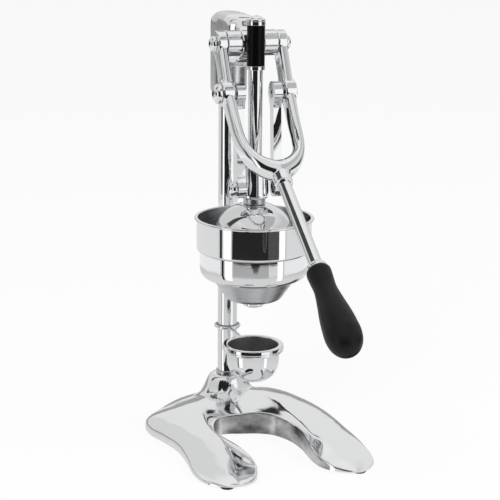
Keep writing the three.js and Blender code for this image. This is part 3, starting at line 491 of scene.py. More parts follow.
# %% Height of the base
BOSS_TOP = 42
BOSS_TOP_RADIUS = 14.7
BOSS_DROP = 34
BOSS_SHOULDER = 18.4  # radius from which the boss falls faster in front
BOSS_HEIGHTS = [  # radius and height as shares
    (1, 1), (1.25, 0.97), (1.43, 0.91), (1.6, 0.8), (1.7, 0.7), (1.97, 0.41), (2.35, 0.15), (3, -0.2),
]
KEEL_LENGTH = 104  # from the column to the inner end of the base's middle
KEEL_LEAN = 13  # how far its foot stands to the left of the middle
KEEL_HEIGHTS = [(0, 0.9), (0.2, 0.84), (0.45, 0.7), (0.7, 0.63), (0.95, 0.6), (1.1, 0.5)]
KEEL_TOP = 42
KEEL_FOOT = 8
RIDGE_ROUND = 0.25


def soft_max(a, b, width):
    near = max(width - abs(a - b), 0) / width
    return max(a, b) + near * near * width / 4


def read_off(table, place):
    """Height at a place in a table of places and heights, on straight lines between its rows."""
    place = min(max(place, table[0][0]), table[-1][0])
    for (start, first), (end, second) in zip(table, table[1:]):
        if place <= end:
            return first + (second - first) * (place - start) / (end - start)


def slope(along):
    """A straight fall from 0 to 1 with a rounded start, as beside the ridge of a roof."""
    return (math.hypot(along, RIDGE_ROUND) - RIDGE_ROUND) / (math.hypot(1, RIDGE_ROUND) - RIDGE_ROUND)


def casting_height(x, y, leg):
    """Height of the casting's top over a point, with the leg, the boss and the keel blended."""
    out = math.hypot(x, y - column_y)
    in_front = min(max((column_y - y) / max(out, 1) * 1.6 - 0.5, 0), 1)
    if out > BOSS_SHOULDER:
        out = BOSS_SHOULDER + (out - BOSS_SHOULDER) * (1 + 0.75 * in_front)
    boss = BOSS_TOP - BOSS_DROP * (1 - read_off(BOSS_HEIGHTS, out / BOSS_TOP_RADIUS))
    along = (column_y - y) / KEEL_LENGTH
    keel = 0
    if 0 < along < 1.05:
        half_width = 15 - 6 * along
        fall = min(abs(x + KEEL_LEAN * along) / half_width, 1.2) ** 1.2
        keel = KEEL_FOOT + (KEEL_TOP * read_off(KEEL_HEIGHTS, along) - KEEL_FOOT) * (1 - fall)
    return soft_max(soft_max(leg, boss, 7), keel, 4)


print("height of the boss's top", round(casting_height(0, column_y, 0), 1))

# %% [markdown]
# The grid is bent over that height. Its outer rows turn down in a small fillet, so the top's edge
# catches the light. Then its border is extruded down and closed, and the column's socket is cut. The
# wall round the opening is rougher and painted a darker grey with streaks: painted shade and painted
# reflections.

# %% Base
FILLET_STEPS = (0, 0.06, 0.25, 0.55, 1)
ACROSS_STEPS = 80
LAST_STEP = 2 * len(FILLET_STEPS) + ACROSS_STEPS - 2
SHOULDER_DROP = 0.24


def base_point(u, v):
    row = base_line[round(u * (len(base_line) - 1))]
    inner_x, inner_y, outer_x, outer_y, rim, crest_at, crest, edge, fall = row
    inner = Vector((BASE_HALF_WIDTH * inner_x, base_rear - BASE_LENGTH * inner_y))
    outer = Vector((BASE_HALF_WIDTH * outer_x, base_rear - BASE_LENGTH * outer_y))
    width = (outer - inner).length
    fillet = min(1.6, width * 0.08)
    k = round(v * LAST_STEP)
    if k < len(FILLET_STEPS):
        across = FILLET_STEPS[k] * fillet / width
    elif k > LAST_STEP - len(FILLET_STEPS):
        across = 1 - FILLET_STEPS[LAST_STEP - k] * fillet / width
    else:
        start = fillet / width
        across = start + (1 - 2 * start) * (k - len(FILLET_STEPS) + 1) / ACROSS_STEPS
    if across < crest_at:
        height = crest - (crest - rim) * slope(1 - across / crest_at)
    else:
        drop = (across - crest_at) / (1 - crest_at)
        flank = edge + (crest - edge) * max(1 - drop * drop, 0) ** fall
        roof = edge + (crest - SHOULDER_DROP * slope(drop) - edge) * math.sqrt(max(1 - drop ** 6, 0))
        height = roof + (flank - roof) * min(max((fall - 0.5) / 0.7, 0), 1)
    point = inner.lerp(outer, across)
    z = casting_height(point.x, point.y, height * BASE_CREST)
    from_edge = min(across, 1 - across) * width
    if from_edge < fillet:
        z -= fillet - math.sqrt(fillet * fillet - (fillet - from_edge) ** 2)
    return point.x, point.y, z


base = shaped_grid("base_casting", len(base_line) - 1, LAST_STEP, base_point)
bpy.ops.object.mode_set(mode="EDIT")
select_border()
bpy.ops.mesh.extrude_region_move(TRANSFORM_OT_translate={"value": (0, 0, 0)})
shape = bmesh.from_edit_mesh(base.data)
for vertex in shape.verts:
    if vertex.select:
        vertex.co.z = BASE_UNDERSIDE * MM
bmesh.update_edit_mesh(base.data)
bpy.ops.mesh.edge_face_add()
close_up()
drill(base, COLUMN_HOLE, 16, 60, at=on_column)


def inner_wall(at, normal):
    opening_middle, opening_end = Vector((-8, 10)), 79
    return (opening_middle - at.xy).dot(normal.xy) > 0 and normal.z < 0.6 and at.y < opening_end


# Painted shade and painted reflections: the wall round the opening gets a darker grey colour with dark and
# pale streaks.
finish_where(base, "polished_casting", "painted_shade_casting", inner_wall)
dress(base, "stand", "polished_casting", "base", smooth=40)

# %% Rubber feet
for foot in ("foot_front_left", "foot_front_right", "foot_rear_left", "foot_rear_right"):
    pad = turned(f"{foot}_pad", [(0, 0), (6.9, 0), (7.5, 0.7), (7.3, 2.2), (0, 2.2)], 48)
    dress(pad, "stand", "foot_rubber", foot, at=(middle(foot, 0), middle(foot, 1), 0))

# %% [markdown]
# ## Column
#
# The column is drawn tube with chrome on it. It stands in the boss, and a plain steel ring closes the
# joint there.

# %% Column and its ring
column_low, column_high = span("column", 2)
column = turned("column_tube", [
    (0, column_low), (11.25, column_low), (11.25, column_high), (0, column_high),
], 128)
dress(column, "stand", "chrome", "column", at=on_column)
column_ring = ring("column_foot_ring", COLUMN_HOLE, 13.15, *span("column_ring", 2))
dress(round_edges(column_ring, 0.5), "stand", "plain_steel", "column_ring", at=on_column)

# %% [markdown]
# ## Head
#
# The head is a casting again: a deep socket on the column, an arm that leads forward, and a cross boss
# with the pivot. Its pieces are made separately, melted into one skin and smoothed, so that the
# corners between them become the fillets of a casting. The bores are cut afterwards and stay crisp.

# %% Head
socket_low, head_top = span("head", 2)
SOCKET_RADIUS = 20.55
HEAD_ROUND = 13
CROSS_BOSS_RADIUS = 14
CROWN = 8.7  # thickness over the column's top
head = turned("head_casting", [
    (0, socket_low), (17.55, socket_low), (SOCKET_RADIUS, socket_low + 3),
    *arc(SOCKET_RADIUS - HEAD_ROUND, head_top - HEAD_ROUND, HEAD_ROUND, 0, 90, 10), (0, head_top),
])
place(head, at=on_column)
arm_rows = [
    # y behind the plunger, above and below the pivot, half width
    (20, 12.6, 12.6, 11.7),
    (29.8, 15.4, 15.4, 11.7),
    (35.4, 23.5, 20.25, 11.7),
    (43.8, 26, 24.3, 18),
    (65.2, 27.4, 27, 18),
    (79.6, 28, 32.4, 18),
    (96, 27.4, 40.5, 18),
]
arm_line = through(arm_rows, 8)
SQUARENESS = 0.42


def squared(value, power):
    return math.copysign(abs(value) ** power, value)


def arm_point(u, v):
    y, above, below, half = arm_line[round(v * (len(arm_line) - 1))]
    angle = 2 * math.pi * u
    rise = (above + below) / 2
    return (
        half * squared(math.cos(angle), SQUARENESS),
        plunger_y + y,
        pivot_z + (above - below) / 2 + rise * squared(math.sin(angle), SQUARENESS),
    )


combine(head, shaped_grid("arm", 48, len(arm_line) - 1, arm_point, closed_round=True))
combine(head, cylinder(CROSS_BOSS_RADIUS, -12, 12, at=at_pivot, turned_by=SIDEWAYS, sides=96))
melt(head, voxel=0.8, rounds=8)
drill(head, COLUMN_HOLE, socket_low - 2, head_top - CROWN, at=on_column, sides=96)
drill(head, SLEEVE_HOLE, socket_low - 30, head_top + 5, at=on_plunger, sides=96)
drill(head, PIVOT_HOLE, -18, 18, at=at_pivot, turned_by=SIDEWAYS)
finish_where(head, "polished_casting", "satin_casting", lambda at, normal: at.y > plunger_y + 62)
dress(head, "stand", "polished_casting", "head", smooth=40)

# %% [markdown]
# ## Guide sleeve and black band
#
# A thin chromed sleeve guides the plunger's rod. Between its two rims it is wrapped in a plain glossy
# black band.

# %% Guide sleeve and black band
sleeve_low, sleeve_high = span("guide_sleeve", 2)
SLEEVE_RIM = 4.2
sleeve = turned("guide_sleeve_tube", [
    (ROD_HOLE, sleeve_low), (10, sleeve_low), (10, sleeve_low + SLEEVE_RIM), (8.8, sleeve_low + SLEEVE_RIM),
    (8.8, sleeve_high - SLEEVE_RIM), (10, sleeve_high - SLEEVE_RIM), (10, sleeve_high),
    (ROD_HOLE, sleeve_high), (ROD_HOLE, sleeve_low),
])
dress(round_edges(sleeve, 0.3), "stand", "chrome", "guide_sleeve", at=on_plunger)
band = ring("sleeve_black_band", 9.1, 9.6, *span("sleeve_band", 2))
dress(round_edges(band, 0.12), "stand", "black_band", "sleeve_band", at=on_plunger)

# %% [markdown]
# ## Screws, nuts and pins
#
# The joints are closed with domed heads that have a hexagon socket. One recipe makes them all: a dome
# is turned upright, its socket is cut, and it is turned to face out of the press.

# %% Domed heads with a hexagon socket
def domed_head(name, radius, height, shank, depth, socket):
    """A domed head on its shank, which reaches depth below the head. The head's foot is at 0."""
    dome = [
        (radius * math.cos(math.radians(angle)), height * (0.32 + 0.68 * math.sin(math.radians(angle))))
        for angle in range(0, 90, 9)
    ]
    head_piece = turned(name, [(0, -depth), (shank, -depth), (shank, 0), (radius, 0), *dome, (0, height)], 64)
    round_edges(head_piece, 0.35, angle=40)
    return drill(head_piece, socket, height * 0.35, height + 2, sides=6)


def off_middle(name):
    """Least and greatest distance of a node from the middle of the press."""
    return sorted(abs(value) for value in span(name, 0))


LINK_INNER, LINK_OUTER, FORK_OUTER = 16.1, 25.4, 41.3  # from the middle of the press
side_words = {-1: "left", 1: "right"}
for side, word in side_words.items():
    face_out = (0, 90 * side, 0)
    name = f"pivot_nut_{word}"
    nut = domed_head(f"{name}_dome", radius=8.2, height=6.5, shank=4.8, depth=0, socket=2.6)
    dress(nut, "stand", "chrome", name, at=(side * off_middle(name)[0], pivot_y, pivot_z), turned_by=face_out)
    name = f"pivot_spacer_{word}"
    spacer = ring(f"{name}_ring", PIVOT_HOLE, 14, *off_middle(name))
    dress(round_edges(spacer, 0.7), "stand", "polished_casting", name, at=at_pivot, turned_by=face_out)
    name = f"link_pin_{word}"
    pin = domed_head(f"{name}_dome", radius=8, height=7.4, shank=4, depth=9.6, socket=2.4)
    dress(
        pin, f"{word}_link", "chrome", name,
        at=(side * LINK_OUTER, middle(name, 1), middle(name, 2)), turned_by=face_out,
    )
    name = f"link_spacer_{word}"
    spacer = ring(f"{name}_ring", PIN_HOLE, 8, *off_middle(name), 64)
    dress(round_edges(spacer, 0.3), "lever", "plain_steel", name, at=at_elbow, turned_by=face_out)

bolt = domed_head("link_bolt_left_dome", radius=10.6, height=8.4, shank=4, depth=24.9, socket=3.4)
dress(bolt, "lever", "chrome", "link_bolt_left", at=(-FORK_OUTER, elbow_y, elbow_z), turned_by=(0, -90, 0))
screw_profile = [(0, -14.4), (4, -14.4), (4, -4), (6, -4), (6, 0), (0, 0)]
socket_screw = round_edges(turned("link_bolt_right_screw", screw_profile, 64), 0.4)
drill(socket_screw, 2.7, -2.2, 2, sides=6)
dress(
    socket_screw, "lever", "plain_steel", "link_bolt_right",
    at=(LINK_INNER, elbow_y, elbow_z), turned_by=(0, -90, 0),
)

# %% [markdown]
# ## Funnel and strainer bowl
#
# Both are spun from sheet steel. The outside is polished bright, and the inside keeps the rings of
# the spinning tool, so those faces get a duller finish. The bowl's rim is rolled outwards.

# %% Funnel with its arm and collar
funnel_low, funnel_top = span("funnel_holder", 2)
shoulder = funnel_low + 32
FUNNEL_RADIUS = 59.5
WALL = 2.4


def raised(points, level):
    return [(radius, level + height) for radius, height in points]


outside = [
    *arc(9.7, funnel_low + 2, 2, -90, 0, 6),
    (11.7, funnel_low + 5.2),
    *arc(15.2, funnel_low + 4.6, 3.5, 180, 130, 4)[1:],
    *through(raised([(20, 7), (26.5, 7.9), (31, 10.4), (34, 14.6)], funnel_low), 5),
    (45.8, shoulder),
    *through(raised([(47.6, 0.5), (52.5, 1.4), (56.6, 4.2), (58.9, 8.6), (FUNNEL_RADIUS, 14)], shoulder), 5),
    (FUNNEL_RADIUS, funnel_top - 0.6),
    (FUNNEL_RADIUS - 0.6, funnel_top),
]
floor_bend = [
    *raised([(56.4, 9), (52.4, 4.4), (44.6, 2.4)], shoulder),
    *raised([(30, 11.5), (22, 9.6), (9.3, 8.4)], funnel_low),
]
inside = [
    (FUNNEL_RADIUS - WALL, funnel_top),
    (FUNNEL_RADIUS - WALL, shoulder + 12),
    *through(floor_bend, 4),
    (9.3, funnel_low),
]
funnel = turned("funnel_shell", [*outside, *inside, outside[0]], 160)
place(funnel, at=on_plunger)
collar_low, collar_high = 185.7, 211.7
holder_arm = added(bpy.ops.mesh.primitive_cube_add, "holder_arm", size=1)
holder_arm.scale = Vector((24, 42, 18)) * MM
place(holder_arm, at=(0, plunger_y + 79.6, (collar_low + collar_high) / 2))
round_edges(holder_arm, 2.5, segments=5)
collar = cylinder(18.55, collar_low, collar_high, at=on_column, sides=96)
round_edges(collar, 2, segments=5)
combine(collar, holder_arm)
below, above = collar_low - 5.7, collar_high + 8.3
drill(collar, COLUMN_HOLE, below, above, at=on_column, sides=96)
drill(collar, FUNNEL_RADIUS - 1.1, below, above, at=on_plunger, sides=160)
combine(funnel, collar)


def from_plunger(at):
    """Distance of a point from the plunger's axis."""
    return math.hypot(at.x, at.y - plunger_y)


def inside_funnel(at, normal):
    floor_rise = max(from_plunger(at) - 30, 0) * 1.4
    return from_plunger(at) < FUNNEL_RADIUS - 1.2 and at.z > funnel_low + 8 + floor_rise


finish_where(funnel, "polished_steel", "spun_steel", inside_funnel)
dress(funnel, "stand", "stainless", "funnel_holder", smooth=30)

# %% Strainer bowl
floor_low, bowl_rim = span("strainer_bowl", 2)
strainer_floor = floor_low + 1.5
bowl_seat = funnel_top + 0.3
BOWL_RADIUS = 63
STRAINER_RADIUS = 56.8
bowl_outline = [
    (0, floor_low),
    *arc(STRAINER_RADIUS - 3, floor_low + 3, 3, -90, 0, 6),
    (STRAINER_RADIUS, bowl_seat),
    *arc(BOWL_RADIUS - 2.6, bowl_seat + 2.6, 2.6, -90, 0, 8),
    (BOWL_RADIUS, bowl_rim - 3.2),
    *arc(BOWL_RADIUS + 1.1, bowl_rim - 1.3, 1.3, -120, 90, 12),
    *arc(BOWL_RADIUS - 0.5, bowl_rim - 1, 1, 90, 180, 4),
    (BOWL_RADIUS - 1.5, bowl_seat + 4),
    *arc(BOWL_RADIUS - 4, bowl_seat + 4, 2.5, 0, -90, 6),
    (STRAINER_RADIUS - 1.5, bowl_seat + 1.5),
    (STRAINER_RADIUS - 1.5, strainer_floor + 3),
    *arc(STRAINER_RADIUS - 4.5, strainer_floor + 3, 3, 0, -90, 5)[1:],
    (0, strainer_floor),
]
bowl = turned("strainer_bowl_shell", bowl_outline, 192)
HOLE_RADIUS = 1.5
hole_rings = ((24, 0.66), (30, 0.77), (36, 0.88))  # count and share of the radius
holes = []
for count, share in hole_rings:
    for i in range(count):
        angle = 2 * math.pi * i / count
        at = Vector((math.cos(angle), math.sin(angle), 0)) * STRAINER_RADIUS * share
        holes.append(cylinder(HOLE_RADIUS, floor_low - 1, strainer_floor + 1, at=at, sides=10))
choose(holes[0])
for hole in holes:
    hole.select_set(True)
bpy.ops.object.join()
cut(bowl, holes[0])
place(bowl, at=on_plunger)


def inside_bowl(at, normal):
    return from_plunger(at) < BOWL_RADIUS - 0.8 and at.z < bowl_rim - 0.4


finish_where(bowl, "polished_steel", "spun_steel", inside_bowl)
dress(bowl, "stand", "stainless", "strainer_bowl", smooth=30)

# %% [markdown]
# ## Reamer
#
# The reamer is a dome with sharp ribs that tear the fruit. The ribs rise from the floor to the tip, so
# its radius swings round the axis with a sharpened wave.

# %% Reamer
RIBS = 12
RIB_DEPTH = 2.6
REAMER_RADIUS = 33
REAMER_HEIGHT = 44
reamer_rows = through([
    (1, 0), (0.98, 0.06), (0.86, 0.3), (0.7, 0.55), (0.5, 0.77), (0.25, 0.94), (0, 1),
], 5)


def reamer_point(u, v):
    radius, height = reamer_rows[round(v * (len(reamer_rows) - 1))]
    wave = abs(math.sin(math.pi * RIBS * u)) ** 1.3
    out = (REAMER_RADIUS - RIB_DEPTH * wave) * max(radius, 0.001)
    angle = 2 * math.pi * u
    z = strainer_floor + 0.3 + REAMER_HEIGHT * height
    return out * math.cos(angle), plunger_y + out * math.sin(angle), z


reamer = shaped_grid("reamer_cone", RIBS * 12, len(reamer_rows) - 1, reamer_point, closed_round=True)
dress(reamer, "stand", "stainless", "reamer")

# %% [markdown]
# ## Plunger
#
# The plunger is a stack of turned pieces on one rod: a cap, the crosshead that the links push, a neck
# ring and the bell that presses the fruit.

# %% Plunger rod, cap, crosshead and neck ring
rod_low, rod_high = span("plunger_rod", 2)
plunger_rod = turned("plunger_rod_bar", [(0, rod_low), (7.8, rod_low), (7.8, rod_high), (0, rod_high)])
dress(round_edges(plunger_rod, 0.3), "plunger", "chrome", "plunger_rod", at=on_plunger)
cap_low, cap_high = rod_high + 0.3, span("rod_cap", 2)[1]
rod_cap = turned("rod_cap_turned", [
    *raised([(0, 0), (9.6, 0), (10, 0.5), (10, 1.4), (9.6, 1.9)], cap_low),
    *through([*raised([(8.2, 2.2), (7.2, 3.4), (5.2, 4.6), (2.6, 5.4)], cap_low), (0, cap_high)], 4),
])
dress(rod_cap, "plunger", "chrome", "rod_cap", at=on_plunger)
cross_low, cross_high = span("crosshead", 2)
crosshead = turned("crosshead_collar", [
    (ROD_HOLE, cross_low), (14.2, cross_low), (15.3, cross_low + 1.6), (15.5, cross_low + 4.4),
    (14.4, cross_high - 2.2), (13.3, cross_high), (ROD_HOLE, cross_high), (ROD_HOLE, cross_low),
], 128)
dress(round_edges(crosshead, 0.4, angle=20), "plunger", "chrome", "crosshead", at=on_plunger)
neck_ring = ring("neck_ring_turned", ROD_HOLE, 12.2, *span("neck_ring", 2))
dress(round_edges(neck_ring, 0.8), "plunger", "plain_steel", "neck_ring", at=on_plunger)

# %% Bell and its nut
bell_low, bell_high = span("press_bell", 2)
BELL_RADIUS = 46
BELL_HEIGHT = 41
BELL_WALL = 2.6
bell_rows = [(1, 0), (0.97, 0.22), (0.913, 0.42), (0.82, 0.627), (0.652, 0.82), (0.413, 0.965), (0.3, 1)]
bell_outside = through([(BELL_RADIUS * r, bell_low + BELL_HEIGHT * h) for r, h in bell_rows], 6)
bell_inside = through([
    ((BELL_RADIUS - BELL_WALL) * r, bell_low + (BELL_HEIGHT - BELL_WALL) * h) for r, h in reversed(bell_rows)
], 6)
bell = turned("press_bell_shell", [
    *bell_outside, (ROD_HOLE, bell_high), (ROD_HOLE, bell_high - BELL_WALL), *bell_inside, bell_outside[0],
], 160)
place(round_edges(bell, 0.5, angle=50), at=on_plunger)


def inside_bell(at, normal):
    return at.z < bell_low + BELL_HEIGHT * (1 - (from_plunger(at) / BELL_RADIUS) ** 2.6) - 1.4


finish_where(bell, "polished_steel", "spun_steel", inside_bell)
dress(bell, "plunger", "stainless", "press_bell")
nut_low, nut_high = span("bell_nut", 2)
bell_nut = cylinder(12.6, nut_low, nut_high, sides=6)
bell_nut.name = "bell_nut_hexagon"
round_edges(bell_nut, 0.6)
drill(bell_nut, ROD_HOLE, nut_low - 2, nut_high + 2)
dress(bell_nut, "plunger", "plain_steel", "bell_nut", at=on_plunger)

# %% [markdown]
# ## Lever
#
# The fork is one forging. Each arm leaves the pivot, passes the boss where a link hangs, and sweeps
# into a thick bow in front, which ends in a socket for the rod. A grid follows the middle line of one
# half and is mirrored by the formula, so the two arms meet without a seam. Hubs, bosses and socket are
# melted into it.

# %% Fork
LEVER_DROP = 33.2
FORK_REACH = 100
LEVER_OFFSET = 20.2
ARM_MIDDLE = 33.65
ARM_THICKNESS = 10.7
BOW_THICKNESS = 22
ARM_DEPTH = 22
drop_angle = math.radians(LEVER_DROP)
lever_forward = Vector((0, -math.cos(drop_angle), -math.sin(drop_angle)))
lever_normal = Vector((0, math.sin(drop_angle), -math.cos(drop_angle)))
elbow = Vector((0, elbow_y, elbow_z))
line_start = elbow + lever_normal * LEVER_OFFSET
bow_rows = [
    # shares of the reach, of the offset and of the half width
    (0, 0, 1), (0.19, 0.3, 0.99), (0.38, 0.58, 0.97), (0.56, 0.77, 0.95),
    (0.73, 0.89, 0.86), (0.87, 0.95, 0.65), (0.96, 0.99, 0.35), (1, 1, 0),
]
half_line = [
    elbow + lever_forward * FORK_REACH * along + lever_normal * LEVER_OFFSET * fall
    + Vector((ARM_MIDDLE * out, 0, 0))
    for along, fall, out in bow_rows
]
hub = Vector((ARM_MIDDLE, pivot_y, pivot_z))
right_half = [hub, hub.lerp(half_line[0], 0.5), *half_line]
left_half = [Vector((-at.x, at.y, at.z)) for at in reversed(right_half[:-1])]
fork_line = [Vector(at) for at in through([tuple(at) for at in right_half + left_half], 10)]


def fork_point(u, v):
    k = round(v * (len(fork_line) - 1))
    here = fork_line[k]
    along = (fork_line[min(k + 1, len(fork_line) - 1)] - fork_line[max(k - 1, 0)]).normalized()
    side_view = Vector((0, along.y, along.z))
    in_bow = along.x ** 2
    if side_view.length < 0.3:
        deep = lever_normal.copy()
    else:
        side_view.normalize()
        deep = Vector((0, -side_view.z, side_view.y))
        if deep.dot(lever_normal) < 0:
            deep.negate()
        deep = deep.lerp(lever_normal, in_bow ** 2).normalized()
    thick = deep.cross(along).normalized()
    half_thick = (ARM_THICKNESS + (BOW_THICKNESS - ARM_THICKNESS) * in_bow) / 2
    angle = 2 * math.pi * u
    roundness = 0.45 + 0.4 * min(max((lever_forward.dot(here - elbow) + 10) / 60, 0), 1)
    return (
        here
        + thick * half_thick * squared(math.cos(angle), roundness)
        + deep * ARM_DEPTH / 2 * squared(math.sin(angle), roundness)
    )


fork = shaped_grid("fork_forging", 48, len(fork_line) - 1, fork_point, closed_round=True)
FORK_INNER = 28.3
hubs = [(13.6, 39, at_pivot), (13.5, 41, at_elbow)]  # radius, outer end and place
for side in (-1, 1):
    for radius, end, at in hubs:
        combine(fork, cylinder(radius, FORK_INNER, end, at=at, turned_by=(0, 90 * side, 0), sides=96))
# places along the lever from here on
ROD_START, SOCKET_END, FERRULE_START, FERRULE_END, ROD_END = 108.7, 120.7, 233.7, 239.7, 270.3
on_lever = {"at": line_start, "turned_by": (90 + LEVER_DROP, 0, 0)}
combine(fork, cylinder(9.8, FORK_REACH, SOCKET_END, sides=64, **on_lever))
melt(fork, voxel=0.8, rounds=6)
for side in (-1, 1):
    drill(fork, PIVOT_HOLE, 20, 50, at=at_pivot, turned_by=(0, 90 * side, 0))
drill(fork, LEVER_HOLE, ROD_START - 0.7, SOCKET_END + 4.3, **on_lever)
dress(fork, "lever", "chrome", "fork", smooth=40)

# %% Lever rod, ferrule and grip
lever_rod = turned("lever_rod_bar", [(0, ROD_START), (6.85, ROD_START), (6.85, ROD_END), (0, ROD_END)])
dress(lever_rod, "lever", "chrome", "lever_rod", **on_lever)
ferrule = turned("ferrule_turned", [
    (LEVER_HOLE, FERRULE_START), (8.6, FERRULE_START),
    *through([(9.2, 234.3), (10, 235.6), (10.5, 237.2), (10.5, 239)], 3),
    (10.2, FERRULE_END), (LEVER_HOLE, FERRULE_END), (LEVER_HOLE, FERRULE_START),
])
dress(ferrule, "lever", "chrome", "ferrule", **on_lever)
GRIP_START = FERRULE_END + 0.6
GRIP_LENGTH = 106
grip_rows = [
    (0, 11.2), (0.03, 12.4), (0.12, 12), (0.24, 11.4), (0.4, 13.6), (0.56, 16.3),
    (0.7, 17.7), (0.79, 18), (0.88, 16.2), (0.95, 11.9), (0.985, 6.5), (1, 0),
]
grip_line = [(max(r, 0), GRIP_START + GRIP_LENGTH * share) for share, r in through(grip_rows, 6)]
grip = turned("grip_handle", [
    (0, ROD_END + 0.3), (LEVER_HOLE, ROD_END + 0.3), (LEVER_HOLE, GRIP_START), *grip_line,
])
dress(grip, "lever", "black_grip", "grip", **on_lever)

# %% [markdown]
# ## Links
#
# A link is a forged bar with an eye at each end. Its outline is drawn point by point, filled and
# extruded to its thickness, and its edges are rounded generously, because it was polished by hand.

# %% Links
LINK_LENGTH = 102.2
TOP_EYE = 11.5
BOTTOM_EYE = 10.5
WAIST = 5.6
LINK_THICKNESS = 9
COUNTERBORE = 6.3  # for the screw's head in the right link


def link_outline():
    top_turn, foot_turn = (math.degrees(math.asin((eye - WAIST) / eye)) + 28 for eye in (TOP_EYE, BOTTOM_EYE))
    top = arc(0, 0, TOP_EYE, -90 + top_turn, 270 - top_turn, 40)
    foot = arc(0, -LINK_LENGTH, BOTTOM_EYE, 90 + foot_turn, 450 - foot_turn, 40)
    waist = [
        (-WAIST - 0.6, -TOP_EYE * 1.35), (-WAIST, -TOP_EYE * 2),
        (-WAIST, -LINK_LENGTH + BOTTOM_EYE * 2), (-WAIST - 0.6, -LINK_LENGTH + BOTTOM_EYE * 1.35),
    ]
    left = through([top[-1], *waist, foot[0]], 6)
    right_side = through([foot[-1], *[(-y, z) for y, z in reversed(waist)], top[0]], 6)
    return [*top, *left[1:-1], *foot, *right_side[1:-1]]


def plate(name, outline, thickness):
    """Fills an outline in the YZ plane and extrudes it along X, all in millimetres."""
    piece = added(bpy.ops.mesh.primitive_circle_add, name, vertices=len(outline), radius=MM)
    for vertex, (y, z) in zip(piece.data.vertices, outline):
        vertex.co = Vector((0, y, z)) * MM
    bpy.ops.object.mode_set(mode="EDIT")
    bpy.ops.mesh.select_all(action="SELECT")
    bpy.ops.mesh.edge_face_add()
    bpy.ops.mesh.extrude_region_move(TRANSFORM_OT_translate={"value": (thickness * MM, 0, 0)})
    close_up()
    return piece


pin_y, pin_z = middle("link_pin_left", 1), middle("link_pin_left", 2)
link_tilt = math.degrees(math.atan2(elbow_y - pin_y, elbow_z - pin_z))
for side, word in side_words.items():
    link = plate(f"link_{word}_forging", link_outline(), LINK_THICKNESS)
    round_edges(link, 1.6, angle=50, segments=5)
    for height in (0, -LINK_LENGTH):
        drill(link, PIN_HOLE, -20, 30, at=(0, 0, height), turned_by=SIDEWAYS)
    if side > 0:
        drill(link, COUNTERBORE, -20, 4.3, turned_by=SIDEWAYS)
    start = LINK_INNER if side > 0 else -LINK_INNER - LINK_THICKNESS
    dress(
        link, f"{word}_link", "chrome", f"link_{word}",
        at=(start, elbow_y, elbow_z), turned_by=(-link_tilt, 0, 0),
    )

# %% [markdown]
# ## Drip cup and its holder
#
# The cup is deep-drawn, with a bead rolled at its rim. It hangs in a ring of thick wire whose other
# end is wound round the column.

# %% Drip cup
cup_low, cup_rim = span("drip_cup", 2)
CUP_RADIUS = 29.5
CUP_DEPTH = 42
cup_rows = [(0, 0), (0.45, 0.02), (0.72, 0.12), (0.9, 0.3), (0.98, 0.52)]


def cup_side(radius, low, depth):
    return through([*[(radius * r, low + depth * h) for r, h in cup_rows], (radius, cup_rim - 6)], 6)


cup = turned("drip_cup_shell", [
    *cup_side(CUP_RADIUS, cup_low, CUP_DEPTH),
    *arc(CUP_RADIUS + 4.1, cup_rim - 4, 0.8, -90, 12, 4),
    *arc(CUP_RADIUS + 3.3, cup_rim - 1, 1, 12, 90, 6),
    *arc(CUP_RADIUS, cup_rim - 1.5, 1.5, 90, 180, 4),
    *reversed(cup_side(CUP_RADIUS - 1.5, cup_low + 1.5, CUP_DEPTH - 1.5)),
], 128)
place(cup, at=on_plunger)


def inside_cup(at, normal):
    mouth = Vector((0, plunger_y, cup_rim))
    return from_plunger(at) < CUP_RADIUS - 1.3 and at.z < cup_rim - 1 and (mouth - at).dot(normal) > 0


# Painted shade: the inside of the cup is duller and painted darker.
finish_where(cup, "polished_steel", "dull_steel_painted_shade", inside_cup)
dress(cup, "drip_cup", "stainless", "drip_cup")

# %% Wire holder
WIRE = 2
wire_z = middle("cup_holder", 2)


def wire_loop(name, radius, segments, centre_y):
    """A ring of wire whose inner edge lies on a radius."""
    made = added(
        bpy.ops.mesh.primitive_torus_add, name, major_radius=(radius + WIRE) * MM, minor_radius=WIRE * MM,
        major_segments=segments, minor_segments=16,
    )
    return place(made, at=(0, centre_y, wire_z))


holder = wire_loop("cup_holder_wire", CUP_RADIUS + 0.3, 128, plunger_y)
combine(holder, wire_loop("column_loop", COLUMN_HOLE, 96, column_y))
bridge_end = column_y - plunger_y - 13.5
bridge = cylinder(WIRE, 31.8, bridge_end, at=(0, plunger_y, wire_z), turned_by=(-90, 0, 0), sides=16)
combine(holder, bridge)


def shade_at_column_joint(at, normal):
    return math.hypot(at.x, at.y - column_y) < 14.3 and at.z > wire_z + 1


# Painted shade: the wire's top faces beside the column are painted darker, a painted contact shadow where
# wire and column meet.
finish_where(holder, "chrome", "dull_steel_painted_shade", shade_at_column_joint)
dress(holder, "cup_holder", "chrome", "cup_holder")

# %% [markdown]
# ## Screws that hardly show
#
# The bolt and washer under the base, the shaft in the head and the two clamping screws are right as
# they were packed, so they only get their finish.

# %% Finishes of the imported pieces
for name in ("column_bolt", "column_washer", "pivot_shaft", "head_screw", "holder_screw"):
    packed = frame["nodes"][name].data
    packed.materials.clear()
    packed.materials.append(finishes["plain_steel"])
    print(name, "is plain steel")

# %% [markdown]
# ## Studio
#
# The floor is pale, and the camera sees an even white sky. Polished metal in an even white room looks
# like plaster, so its reflections see other surroundings. Dark and pale sheets lie on the floor in
# front and at the sides, as the bands of the bowl mirror them, and the sky is painted for mirrored
# rays only: a dark room behind the camera, white screens beside it and dark doorways further round.

